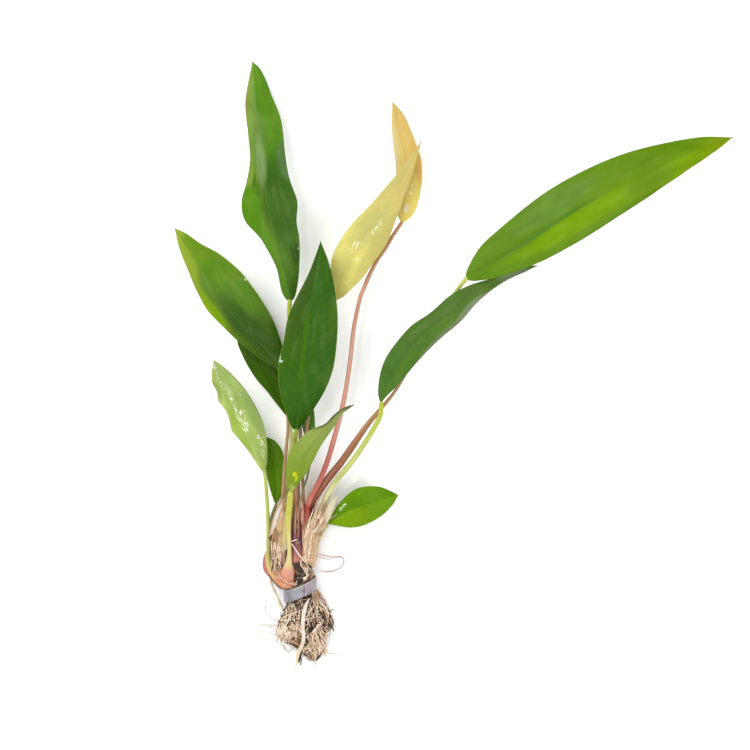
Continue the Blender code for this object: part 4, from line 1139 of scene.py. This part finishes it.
def sheet_faces(rows, columns):
    """The faces of a closed sheet: its two grids of points, the second under the first, and its rim."""
    under = rows * columns
    faces = []
    for row in range(rows - 1):
        for column in range(columns - 1):
            a = row * columns + column
            b, c, d = a + 1, a + columns + 1, a + columns
            faces.append((a, b, c, d))
            faces.append((d + under, c + under, b + under, a + under))
    rim = [row * columns for row in range(rows)]
    rim += [(rows - 1) * columns + column for column in range(1, columns)]
    rim += [row * columns + columns - 1 for row in range(rows - 2, -1, -1)]
    rim += list(range(columns - 2, 0, -1))
    for start, end in zip(rim, rim[1:] + rim[:1]):
        faces.append((start, end, end + under, start + under))
    return faces


def patch_share(paint, across, along, patch):
    """How strongly a soft patch of colour shows at a place on the blade, fading to its rim."""
    middle_across, middle_along, wide, long = patch[:4]
    sideways = paint.math("DIVIDE", paint.math("SUBTRACT", across, middle_across), wide)
    lengthways = paint.math("DIVIDE", paint.math("SUBTRACT", along, middle_along), long)
    sideways = paint.math("MULTIPLY", sideways, sideways)
    lengthways = paint.math("MULTIPLY", lengthways, lengthways)
    return paint.span(paint.math("ADD", sideways, lengthways), 0.1, 1.0, 0.85, 0.0)


def vein_share(paint, across, from_rib, run, apart):
    """Lines that slant from the midrib towards the tip, alternating on its two sides."""
    slanted = paint.math("SUBTRACT", run, paint.math("MULTIPLY", from_rib, VEIN_SLANT))
    turned = paint.math("DIVIDE", slanted, apart)
    turned = paint.math("ADD", turned, paint.span(across, -0.01, 0.01, 0.0, 0.5))
    waver = paint.noise(110, detail=1.0)
    turned = paint.math("ADD", turned, paint.math("MULTIPLY", waver, 0.5))
    share = paint.math("ABSOLUTE", paint.math("SUBTRACT", paint.math("FRACT", turned), 0.5))
    return paint.span(share, 0.36, 0.5)


def glint_share(paint, across, along, offset, run, areas):
    """Streaks along the blade, some 3 mm long and under 1 mm wide, dense in the given areas only."""
    lengthwise = paint.joined(paint.math("MULTIPLY", run, 0.3), paint.math("MULTIPLY", offset, 2.2))
    streaks = paint.noise(1.3, detail=2.0, place=lengthwise)
    near = 0.0
    for area in areas:
        near = paint.math("MAXIMUM", patch_share(paint, across, along, area), near)
    streaks = paint.math("ADD", streaks, paint.math("MULTIPLY", near, 0.2))
    return paint.span(streaks, 0.73, 0.8, 0.0, 0.8)


def blade_material(name, look):
    """Waxy leaf: its patches of green, then painted fold shade and sheen, veins, grain, midrib, edge and
    glints, and its relief.
    """
    coat = 0.12 * look.get("wrinkle", 0)
    paint = Paint(name + "_leaf", roughness=0.42, specular=0.05, coat=coat, soft=0.05)
    along, across, from_rib, run = [paint.attribute(key) for key in ("along", "across", "from_rib", "run")]
    offset = paint.math("MULTIPLY", from_rib, paint.math("SIGN", across))
    veins = vein_share(paint, across, from_rib, run, VEIN_SPACING)
    grain = paint.noise(1500, detail=2.0)
    body = blade_patches(paint, look, along, across)
    # Painted shade and sheen: soft lengthwise bands, darker in some places and lighter in others, where the
    # blade bends.
    fold_shade = paint.noise(0.3, detail=2.0, place=paint.joined(paint.math("MULTIPLY", run, 0.3), offset, 0.5))
    body = paint.over(body, paint.mix(0.5, body, (0.0, 0.02, 0.0)), fold_shade, 0.5, 0.7, 0.16)
    body = paint.over(body, paint.mix(0.5, body, (0.5, 0.6, 0.2)), fold_shade, 0.5, 0.3, 0.06)
    body = paint.mix(paint.math("MULTIPLY", veins, 0.035), body, paint.mix(0.4, body, (0.40, 0.50, 0.06)))
    body = paint.over(body, paint.mix(0.4, body, (0.0, 0.01, 0.0)), grain, 0.35, 0.75, 0.14)
    rib = paint.span(from_rib, 0.12, 0.5, look["rib_share"], 0.0)
    body = paint.mix(rib, body, linear(look["rib"]))
    edge = linear(look["margin"]) if "margin" in look else MARGIN_GREEN
    margin = paint.math("ABSOLUTE", across)
    body = paint.over(body, paint.mix(0.5, body, edge), margin, 0.965, 1.0, 0.7)
    if "glints" in look:
        glints = glint_share(paint, across, along, offset, run, look["glints"])
        body = paint.mix(glints, body, (0.95, 0.97, 0.86))
    paint.color(body)
    paint.rough(paint.span(paint.noise(400), 0.3, 0.7, 0.30, 0.44))
    fine_veins = vein_share(paint, across, from_rib, run, VEIN_SPACING / 4)
    relief = paint.math("ADD", veins, paint.math("MULTIPLY", fine_veins, 0.4))
    sign = 1.0 if look.get("under") else -1.0
    strength = paint.span(paint.noise(60, detail=2.0), 0.35, 0.65, 0.1 * sign, 0.5 * sign)
    relief = paint.math("MULTIPLY", relief, strength)
    paint.bump(paint.math("ADD", relief, paint.math("MULTIPLY", grain, 0.5)), VEIN_HEIGHT, 0.6)
    return paint.material


def blade_patches(paint, look, along, across):
    """The blade's two halves, each from its base's colour to its tip's, with soft patches and mottling."""
    # The halves and patches carry painted sheen and shade as well as the leaf's own greens.
    halves = []
    for half in ("left", "right"):
        base, tip = [linear(color) for color in look[half]]
        halves.append(paint.over(base, tip, along, 0.1, 0.9))
    body = paint.over(*halves, across, *look.get("blend", (-0.12, 0.12)))
    for patch in look["patches"]:
        body = paint.mix(patch_share(paint, across, along, patch), body, linear(patch[4]))
    darker = paint.mix(0.14, body, (0.0, 0.01, 0.0))
    lighter = paint.mix(0.10, body, linear(look["rib"]))
    return paint.over(darker, lighter, paint.noise(70, detail=4.0), 0.3, 0.7)


def stem(name, leaf, look, seed):
    """A leaf's stem: a slightly grooved tube that runs out to a point inside the blade."""
    *colors, slot = look
    points = places([leaf["midrib"][0], *leaf["stem"]])
    points.insert(0, points[0] + (points[0] - points[1]).normalized() * STEM_JOINT)
    count = STEM_STEPS * (len(points) - 1)
    line = smooth_line(points, count)
    widths = leaf["stem_radius"]
    share = np.linspace(0, 1, count + 1)
    radii = np.interp(share, np.linspace(0, 1, len(widths)), widths) * MM
    radii = radii * (1 + 0.10 * np.exp(-(share / 0.03) ** 2))
    length = np.sum(np.linalg.norm(np.diff(line, axis=0), axis=1))
    radii = radii * np.sqrt(np.clip(share * length / STEM_JOINT, 0.04, 1))
    for index, point in enumerate(line):
        radii[index] *= 1 + 0.05 * soft_noise(point, 6 * MM, seed)
    points, faces = tube_arrays(line, radii, STEM_SIDES, groove=STEM_GROOVE)
    turns = np.linspace(0, 2 * math.pi, STEM_SIDES, endpoint=False)
    attributes = {"along": np.repeat(share, STEM_SIDES), "side": np.tile(np.cos(turns), count + 1)}
    mesh_piece(name + "_stem", points, faces, attributes, stem_material(name, colors), slot, "stem_" + name)


def stem_material(name, colors):
    """Smooth skin that changes colour from the blade to the crown, with fine streaks along it."""
    paint = Paint(name + "_stem_skin", roughness=0.4, specular=0.3, soft=0.2)
    along = paint.attribute("along")
    body = paint.three_colors(along, colors, (0.04, 0.4), (0.5, 0.95))
    # The length of the name only picks another part of the noise for each stem.
    layer = len(name)
    place_on_skin = paint.joined(paint.math("MULTIPLY", along, 1.2), paint.attribute("side"), layer)
    streaks = paint.noise(4, place=place_on_skin)
    body = paint.over(body, paint.mix(0.6, body, (0.05, 0.02, 0.0)), streaks, 0.5, 0.66, 0.6)
    body = paint.over(body, linear((250, 238, 200)), streaks, 0.46, 0.34, 0.35)
    paint.color(body)
    paint.bump(streaks, 0.08 * MM, 0.4)
    return paint.material


def crown_tube(name, stations, colors, steps, sides, seed, flutes, squash=1.0, slot="crown", node="crown"):
    """A tube through places with radii, lightly fluted, coloured by three stops along it."""
    line, radii = tapered_line(stations, steps)
    share = np.linspace(0, 1, steps + 1)
    radii = radii * np.sqrt(np.clip((1 - share) / 0.06, 0.05, 1))
    points, faces = tube_arrays(line, radii, sides, squash)
    turns = np.tile(np.linspace(0, 2 * math.pi, sides, endpoint=False), steps + 1)
    centres = np.repeat(line, sides, axis=0)
    swell = 1 + 0.035 * np.cos(turns * flutes + seed)
    for index, point in enumerate(points):
        swell[index] += 0.05 * soft_noise(point, 2.5 * MM, seed)
    points = centres + (points - centres) * swell[:, None]
    points[:, 2] = np.maximum(points[:, 2], 0.05 * MM)
    attributes = {"along": np.repeat(share, sides), "around": np.cos(turns * 9 + seed)}
    material = skin_material(name + "_skin", colors, COLOR_TURNS.get(name, USUAL_TURN))
    mesh_piece(name, points, faces, attributes, material, slot, node)


def skin_material(name, colors, last_turn):
    """Skin of a stem's base: three colours along it, fine lengthwise streaks and pale blotches."""
    paint = Paint(name, roughness=0.5, specular=0.25, soft=0.2)
    along = paint.attribute("along")
    body = paint.three_colors(along, colors, (0.05, 0.5), last_turn)
    place_on_skin = paint.joined(paint.math("MULTIPLY", along, 0.35), paint.attribute("around"))
    streaks = paint.noise(7, detail=4.0, place=place_on_skin)
    body = paint.over(body, paint.mix(0.5, body, linear((96, 58, 40))), streaks, 0.52, 0.74, 0.6)
    body = paint.over(body, linear((250, 226, 196)), paint.noise(420, detail=4.0), 0.56, 0.7, 0.35)
    paint.color(body)
    paint.bump(streaks, 0.25 * MM, 0.5)
    return paint.material


def crown():
    """The rhizome with the stem bases and the side bud on it, and the papery remains of old sheaths."""
    rhizome = slimmer(RHIZOME, RHIZOME_SHARE)
    crown_tube("crown_core", rhizome, RHIZOME_COLORS, steps=60, sides=40, seed=3, flutes=5, squash=0.58)
    for number, (name, stations) in enumerate(STEM_BASES.items()):
        radius = LEAVES[name]["stem_radius"][-1]
        above, end = LEAVES[name]["stem"][-2:]
        start = [above[axis] + (end[axis] - above[axis]) * 0.9 for axis in range(3)]
        line = [(*start, radius * 0.97), (*end, radius), *stations]
        crown_tube("base_of_" + name, line, BASE_LOOKS[name], steps=44, sides=24, seed=number, flutes=6)
    crown_tube("foot_tissue", FOOT_TISSUE, TISSUE_COLORS, steps=50, sides=32, seed=6, flutes=7)
    bud = slimmer(SIDE_BUD, BUD_SHARE)
    crown_tube("side_bud", bud, BUD_COLORS, steps=40, sides=24, seed=5, flutes=4)
    for number, (name, look) in enumerate(SHEATHS.items()):
        sheath(name, look, number)
    crown_fibres()


def torn_rows(grid, tear, seed):
    """The sheath's columns shortened by different amounts, so that its top is ragged."""
    climb = np.linspace(0, 1, SHEATH_ROWS)
    for column in range(SHEATH_COLUMNS):
        depth = abs(math.sin(column * 0.9 + seed)) * (0.6 + 0.4 * math.sin(column * 2.3))
        path = grid[:, column].copy()
        for axis in range(3):
            grid[:, column, axis] = np.interp(climb * (1 - tear * depth), climb, path[:, axis])


def sheath(name, look, seed):
    """A thin, creased, papery sheet between two edges, torn into points at its top."""
    left, right = [smooth_line(places(edge), SHEATH_ROWS - 1) for edge in look["edges"]]
    share = np.linspace(0, 1, SHEATH_COLUMNS)
    grid = left[:, None] + (right - left)[:, None] * share[None, :, None]
    width = np.linalg.norm(right - left, axis=1)
    grid[..., 2] += SHEATH_ARCH * width[:, None] * np.sin(math.pi * share)[None, :]
    torn_rows(grid, look["tear"], seed)
    normals = surface_normals(grid)
    crease = np.cos(share * 2 * math.pi * CREASES + seed) * CREASE_HEIGHT * np.ones((SHEATH_ROWS, 1))
    for row in range(SHEATH_ROWS):
        for column in range(SHEATH_COLUMNS):
            crease[row, column] += CRUMPLE_HEIGHT * soft_noise(grid[row, column], CRUMPLE_SIZE, seed)
    grid = grid + normals * crease[..., None]
    points = sheet_points(grid, normals * SHEATH_HALF_THICKNESS)
    attributes = {
        "along": np.tile(np.repeat(np.linspace(0, 1, SHEATH_ROWS), SHEATH_COLUMNS), 2),
        "around": np.tile(share, 2 * SHEATH_ROWS),
    }
    faces = sheet_faces(SHEATH_ROWS, SHEATH_COLUMNS)
    mesh_piece(name, points, faces, attributes, sheath_material(name, look["colors"]), "crown", "crown")


def sheath_material(name, colors):
    """Dry, slightly see-through paper with lengthwise fibres, brown and pale, and brown spots."""
    paint = Paint(name + "_paper", roughness=0.6, specular=0.2, soft=0.3)
    along = paint.attribute("along")
    around = paint.attribute("around")
    body = paint.three_colors(along, colors, (0.05, 0.45), (0.55, 0.95))
    fibres = paint.noise(15, detail=4.0, place=paint.joined(paint.math("MULTIPLY", along, 0.2), around))
    body = paint.over(body, paint.mix(0.6, body, linear((128, 84, 52))), fibres, 0.5, 0.66, 0.5)
    place_on_paper = paint.joined(paint.math("MULTIPLY", along, 0.25), around, 4.0)
    pale_fibres = paint.noise(19, detail=4.0, place=place_on_paper)
    body = paint.over(body, linear((255, 246, 222)), pale_fibres, 0.54, 0.64, 0.6)
    body = paint.over(body, linear((92, 60, 40)), paint.noise(500, detail=2.0), 0.66, 0.74, 0.6)
    paint.color(body)
    paint.bump(fibres, 0.15 * MM, 0.6)
    return paint.material


def strand_material():
    """Root skin from dark brown to cream by each strand's tone, with tan stains; dark tones partly painted
    shade.
    """
    paint = Paint("strand_skin_and_shade", roughness=0.7, specular=0.15)
    # The darkest tones are partly the roots' own brown and partly painted shade between the pale strands.
    colors = ((44, 26, 24), (206, 160, 120), (280, 258, 228))
    body = paint.three_colors(paint.attribute("tone"), colors, (0.0, 0.5), (0.5, 0.9))
    paint.color(paint.over(body, linear((176, 126, 84)), paint.noise(260), 0.52, 0.7, 0.35))
    return paint.material


def crown_fibres():
    """Loose fibres and one fine white root on the crown."""
    bundle = Bundle()
    for stations, tone in CROWN_FIBRES:
        line, radii = tapered_line(stations, STRAND_STEPS)
        bundle.add(line, radii, 8, tone)
    root_fans(bundle, 23, CROWN_TOP, CROWN_FANS)
    bundle.piece("crown_fibres", strand_material(), "crown", "crown")


def mass_point(share, turn, reach):
    """A point on the form of the root mass: share runs down it and turn goes round it."""
    stations = np.array(ROOT_MASS, float)
    knots = np.linspace(0, 1, len(stations))
    column, row, height, wide, tall = [np.interp(share, knots, values) for values in stations.T]
    point = place(column, row, height)
    point.x += wide * MM * reach * math.cos(turn)
    point.z += tall * MM * reach * math.sin(turn)
    point.z = max(point.z, SURFACE_GAP)
    return point


def root_core():
    """The lumpy inside of the root mass, seen between the strands: dark, as painted shade of the gaps, but
    for its pale lobes.
    """
    points = []
    for ring in range(CORE_RINGS):
        share = ring / (CORE_RINGS - 1)
        for side in range(CORE_SIDES):
            turn = 2 * math.pi * side / CORE_SIDES
            point = mass_point(share, turn, 0.86)
            grain = soft_noise(point, 1.6 * MM, 2) * 0.5 + soft_noise(point, 4 * MM, 4)
            points.append(mass_point(share, turn, 0.83 + 0.12 * grain))
    faces = tube_faces(CORE_RINGS, CORE_SIDES)
    pale = {"pale": [pale_share(point) for point in points]}
    mesh_piece("root_core", points, faces, pale, core_material(), "root", "root_mass")


def pale_share(point):
    """How pale the root mass is inside at a point, from 0 to 1."""
    share = 0.0
    for column, row, reach in PALE_LOBES:
        middle = place(column, row, 0)
        far = math.hypot(point.x - middle.x, point.y - middle.y) / (reach * PIXEL)
        share = max(share, math.exp(-far ** 2))
    return share


def core_material():
    """Dull, lumpy surface in dark brown, painted shade deep in the tangle, and in tan where the mass is
    pale.
    """
    paint = Paint("root_core_skin_and_shade", roughness=0.85, specular=0.1)
    lumps = paint.noise(330, detail=4.0)
    # Painted shade: near-black and dark browns for the gaps between the strands.
    body = paint.over(linear((44, 27, 27)), linear((96, 64, 52)), lumps, 0.42, 0.66)
    tan = paint.over(linear((120, 84, 64)), linear((228, 190, 148)), lumps, 0.38, 0.6)
    paint.color(paint.over(body, tan, paint.attribute("pale"), 0.25, 0.75))
    paint.bump(lumps, 0.8 * MM, 0.8)
    return paint.material


def form_top(form, column, row, reach):
    """A point on the upper side of a form, or hanging beside it, from its column and row."""
    stations = np.array(form, float)
    middle, height, wide, tall = [np.interp(row, stations[:, 1], stations[:, axis]) for axis in (0, 2, 3, 4)]
    off = abs(column - middle) * PIXEL / (wide * MM)
    rise = tall * reach * math.sqrt(max(1 - off ** 2, 0))
    drop = wide * max(off - 1, 0)
    return place(column, row, max(height + rise - drop, 0.4))


def root_fan(bundle, rng, form, fan):
    """Thin roots laid over a form, each from a place in one area to a place in another."""
    first, second, third, fourth, count, stray, tones = fan
    for _ in range(count):
        across = rng.uniform(0, 1)
        deep = rng.uniform(0, 1)
        start = [first[axis] + (second[axis] - first[axis]) * (across, deep)[axis] for axis in range(2)]
        across = np.clip(across + rng.normal(0, 0.25), 0, 1)
        deep = rng.uniform(0, 1)
        end = [third[axis] + (fourth[axis] - third[axis]) * (across, deep)[axis] for axis in range(2)]
        swing = rng.normal(0, stray, 2)
        turn = rng.uniform(0, 2 * math.pi)
        reach = rng.uniform(0.93, 1.05)
        points = []
        for share in np.linspace(0, 1, STRAND_KNOTS):
            bow = math.sin(math.pi * share)
            curl = 0.24 * stray * math.sin(6 * share + turn)
            wave = 0.24 * stray * math.sin(5 * share + 2 * turn)
            column = start[0] + (end[0] - start[0]) * share + swing[0] * bow + curl
            row = start[1] + (end[1] - start[1]) * share + swing[1] * bow + wave
            lift = 0.04 * math.sin(13 * share + 2 * turn) - 0.05 * (2 * share - 1) ** 4
            points.append(form_top(form, column, row, reach + lift))
        radius = rng.choice(FAN_RADII, p=FAN_RADIUS_SHARES) * MM
        radii = radius * np.linspace(1, 0.6, STRAND_STEPS + 1)
        bundle.add(smooth_line(points, STRAND_STEPS), radii, 6, rng.uniform(*tones))


def root_fans(bundle, seed, form, fans):
    """Several fans of thin roots over one form."""
    rng = np.random.default_rng(seed)
    for fan in fans:
        root_fan(bundle, rng, form, fan)


def top_roots():
    """The thin roots that lie on top of the mass, in the directions in which they grew."""
    bundle = Bundle()
    root_fans(bundle, 31, ROOT_MASS, ROOT_FANS)
    bundle.piece("root_fans", strand_material(), "root", "root_mass")


def root_strands():
    """The thin roots that cross each other over the core."""
    rng = np.random.default_rng(11)
    bundle = Bundle()
    for number in range(CROSSING_STRANDS):
        start = rng.uniform(0.0, 0.95)
        turn = rng.uniform(-0.4, math.pi + 0.4) if number % 5 else rng.uniform(0, 2 * math.pi)
        length = rng.uniform(0.14, 0.5)
        twist = rng.normal(0, 1.5)
        reach = rng.uniform(0.82, 0.97)
        waves = rng.uniform(0, 2 * math.pi, 4)
        points = []
        for step in np.linspace(0, 1, STRAND_KNOTS):
            share = float(np.clip(start + length * step + 0.02 * math.sin(step * 11 + waves[3]), 0, 0.995))
            swing = 0.26 * math.sin(step * 10 + waves[0]) + twist * step
            off = 0.05 * math.sin(step * 10 + waves[1]) + 0.05 * math.sin(step * 4 + waves[2])
            ragged = 0.10 * soft_noise(mass_point(share, turn + swing, 1.0), 5 * MM, 12)
            points.append(mass_point(share, turn + swing, reach + off + ragged))
        radius = rng.choice(CROSSING_RADII, p=CROSSING_RADIUS_SHARES) * MM
        pale = rng.random() < PALE_STRAND_SHARE
        tone = rng.uniform(0.55, 0.9) if pale else rng.uniform(0.0, 0.3)
        radii = radius * np.linspace(1, 0.5, STRAND_STEPS + 1)
        bundle.add(smooth_line(points, STRAND_STEPS), radii, 7, tone)
    bundle.piece("root_strands", strand_material(), "root", "root_mass")


def wisps():
    """The few thin roots that stand off the mass and lie on the surface."""
    bundle = Bundle()
    for width, tone, stations in THIN_ROOTS:
        line = smooth_line(places(stations), WISP_STEPS)
        for index, point in enumerate(line):
            line[index, 0] += 0.35 * MM * soft_noise(point, 3 * MM, 7)
            line[index, 1] += 0.35 * MM * soft_noise(point, 3 * MM, 8)
        bundle.add(line, np.linspace(0.6, 1, WISP_STEPS + 1) * width * MM, 8, tone)
    bundle.piece("root_wisps", wisp_material(), "root", "root_mass")


def wisp_material():
    """Thin root skin from dark brown over pink to cream by each wisp's tone, with brown stains."""
    paint = Paint("wisp_skin", roughness=0.7, specular=0.15)
    colors = ((50, 32, 26), (216, 176, 164), (238, 230, 208))
    body = paint.three_colors(paint.attribute("tone"), colors, (0.0, 0.5), (0.6, 0.9))
    stained = paint.mix(0.5, body, linear((150, 110, 90)))
    paint.color(paint.over(body, stained, paint.noise(200), 0.5, 0.62, 0.6))
    return paint.material


def neck():
    """The neck between the crown and the strip, in painted shade of the gap, with short pale roots over it.
    """
    # Painted shade: the neck's near-black colours stand for the gap under the crown's foot.
    crown_tube("neck_core", NECK, NECK_COLORS, steps=40, sides=32, seed=2, flutes=7, slot="root",
               node="root_mass")
    bundle = Bundle()
    root_fans(bundle, 5, NECK, NECK_FANS)
    bundle.piece("neck_strands", strand_material(), "root", "root_mass")


def thick_root(name, stations):
    """One root that stands out from the tangle, slightly crooked, with small joints along it."""
    plain, stained, seed = ROOT_LOOKS[name]
    line, radii = tapered_line(stations, THICK_ROOT_STEPS)
    share = np.linspace(0, 1, THICK_ROOT_STEPS + 1)
    radii = radii * np.sqrt(np.clip(np.minimum(share, 1 - share) / 0.12, 0.04, 1))
    for index, point in enumerate(line):
        line[index, 0] += 0.3 * MM * soft_noise(point, 4 * MM, seed)
        radii[index] *= 1 + 0.2 * soft_noise(point, 1.8 * MM, seed + 1)
    points, faces = tube_arrays(line, radii, THICK_ROOT_SIDES)
    along = {"along": np.repeat(share, THICK_ROOT_SIDES)}
    mesh_piece(name + "_skin", points, faces, along, thick_root_material(name, plain, stained), "root", name)


def thick_root_material(name, plain, stained):
    """Pale root skin with tan stains, and a front root that turns cream and then greenish at its end."""
    paint = Paint(name + "_color", roughness=0.6, specular=0.2, soft=0.1)
    stains = paint.noise(300, detail=4.0)
    body = paint.over(linear(plain), linear(stained), stains, 0.44, 0.64, 0.8)
    if name == "root_front":
        along = paint.attribute("along")
        body = paint.over(body, linear((246, 226, 190)), along, 0.5, 0.72)
        body = paint.over(body, linear((236, 236, 204)), along, 0.76, 0.9)
    paint.color(body)
    paint.bump(stains, 0.3 * MM, 0.6)
    return paint.material


def strip_section(turn):
    """A point of the strip's inner face, across and up from its lowest middle, and the way out there."""
    half_height = STRIP_HEIGHT / 2
    across = math.cos(turn)
    up = math.sin(turn)
    inner_width = STRIP_HALF_WIDTH - STRIP_THICKNESS
    inner_height = half_height - STRIP_THICKNESS
    point = Vector((across * inner_width, 0, half_height + up * inner_height))
    out = Vector((across / inner_width, 0, up / inner_height)).normalized()
    return point, out


def weight_strip():
    """The metal strip, wound a little more than once round the neck, with rounded edges and dents."""
    centre = place(*STRIP_CENTRE, 0)
    outline = rounded_band(STRIP_THICKNESS, STRIP_BAND)
    points = []
    rims = []
    for number in range(STRIP_STEPS + 1):
        turned = STRIP_WINDING * number / STRIP_STEPS
        base, out = strip_section(math.radians(STRIP_START + turned))
        lift = min(max((turned - STRIP_LIFT_START) / STRIP_LIFT_LENGTH, 0.0), 1.0) * STRIP_OVERLAP
        for depth, edge in outline:
            point = base + out * (lift + depth)
            point.z = max(point.z, STRIP_THICKNESS - depth)
            shift = STRIP_RISE * point.x - STRIP_LEAN * (point.z - STRIP_HEIGHT / 2)
            point = centre + Vector((point.x, shift + edge, point.z))
            dent = 0.12 * MM * soft_noise(point, 3.5 * MM, 6)
            points.append(point + out * dent * (0 < number < STRIP_STEPS))
            rims.append(edge / STRIP_BAND * 2)
    attributes = {"side": [point.x - centre.x for point in points], "rim": rims}
    faces = tube_faces(STRIP_STEPS + 1, len(outline))
    mesh_piece("lead_strip", points, faces, attributes, strip_material(), "metal", "weight_strip")


def strip_material():
    """Dull, cloudy grey metal that turns lavender to the right, with scratches and painted highlights on its
    rims.
    """
    paint = Paint("dull_lead", roughness=0.5, metallic=0.25, specular=0.4)
    scratches = paint.noise(900, stretch=(0.15, 1, 1))
    clouds = paint.noise(240)
    body = paint.over(linear((140, 138, 146)), linear((168, 166, 174)), clouds, 0.35, 0.65)
    lavender = paint.over(linear((154, 142, 154)), linear((190, 178, 186)), clouds, 0.35, 0.65)
    body = paint.over(body, lavender, paint.attribute("side"), -1.0 * MM, 3.0 * MM)
    body = paint.over(body, linear((112, 108, 116)), scratches, 0.6, 0.75, 0.4)
    # Painted highlight: pale grey along both rims of the strip.
    body = paint.over(body, linear((232, 230, 234)), paint.attribute("rim"), 0.84, 0.94, 0.7)
    paint.color(body)
    paint.rough(paint.span(clouds, 0.3, 0.7, 0.4, 0.6))
    paint.bump(scratches, 0.15 * MM, 0.5)
    return paint.material


def rounded_band(thickness, width):
    """The strip's cross-section as pairs of depth and place across, with rounded corners."""
    corner = 0.3 * thickness
    outline = []
    for depth, edge, start in ((thickness, 1, 0), (0, 1, 90), (0, -1, 180), (thickness, -1, 270)):
        middle_depth = depth - corner if depth else corner
        middle_edge = edge * (width / 2 - corner)
        for step in range(4):
            turn = math.radians(start + 30 * step)
            outline.append((middle_depth + corner * math.cos(turn), middle_edge + corner * math.sin(turn)))
    return outline


def placed(name, data, location):
    """An object of the studio at its place."""
    thing = bpy.data.objects.new(name, data)
    thing.location = location
    bpy.context.scene.collection.objects.link(thing)
    return thing


def camera(middle):
    """The camera straight above the picture's middle, with the whole picture in view."""
    data = bpy.data.cameras.new("camera")
    data.sensor_width = SENSOR
    data.lens = SENSOR * CAMERA_HEIGHT / (PICTURE_SIDE * PIXEL)
    data.clip_end = 20.0
    bpy.context.scene.camera = placed("camera", data, (middle.x, middle.y, CAMERA_HEIGHT))


def lamps(middle):
    """Soft, round lamps that point at the picture's middle."""
    for name, (position, size, power) in LAMPS.items():
        lamp = bpy.data.lights.new(name, "AREA")
        lamp.shape = "DISK"
        lamp.size = size
        lamp.energy = power
        thing = placed(name, lamp, position)
        thing.rotation_mode = "QUATERNION"
        thing.rotation_quaternion = (middle - thing.location).to_track_quat("-Z", "Y")


def sky():
    """Even white light from all round."""
    world = bpy.data.worlds.new("studio")
    world.use_nodes = True
    background = world.node_tree.nodes["Background"]
    background.inputs["Color"].default_value = (1.0, 1.0, 1.0, 1.0)
    background.inputs["Strength"].default_value = SKY_STRENGTH
    bpy.context.scene.world = world
    bpy.context.scene.view_settings.view_transform = "Standard"


def floor():
    """The plain white floor."""
    mesh = bpy.data.meshes.new("floor")
    corners = [(x * FLOOR_REACH, y * FLOOR_REACH, 0) for x, y in ((-1, -1), (1, -1), (1, 1), (-1, 1))]
    mesh.from_pydata(corners, [], [(0, 1, 2, 3)])
    paint = Paint("white_floor", roughness=0.9, specular=0.1)
    paint.color((0.98, 0.98, 0.98))
    mesh.materials.append(paint.material)
    placed("floor", mesh, (0, 0, 0))


def studio():
    """The camera, the light and the floor."""
    middle = place(PICTURE_SIDE / 2, PICTURE_SIDE / 2, 0)
    camera(middle)
    lamps(middle)
    sky()
    floor()


studio()
for number, (leaf_name, leaf_lines) in enumerate(LEAVES.items()):
    blade(leaf_name, leaf_lines, BLADE_LOOKS[leaf_name], number)
    stem(leaf_name, leaf_lines, STEM_LOOKS[leaf_name], number)
crown()
root_core()
root_strands()
top_roots()
wisps()
neck()
for root_name, root_stations in THICK_ROOTS.items():
    thick_root(root_name, root_stations)
weight_strip()
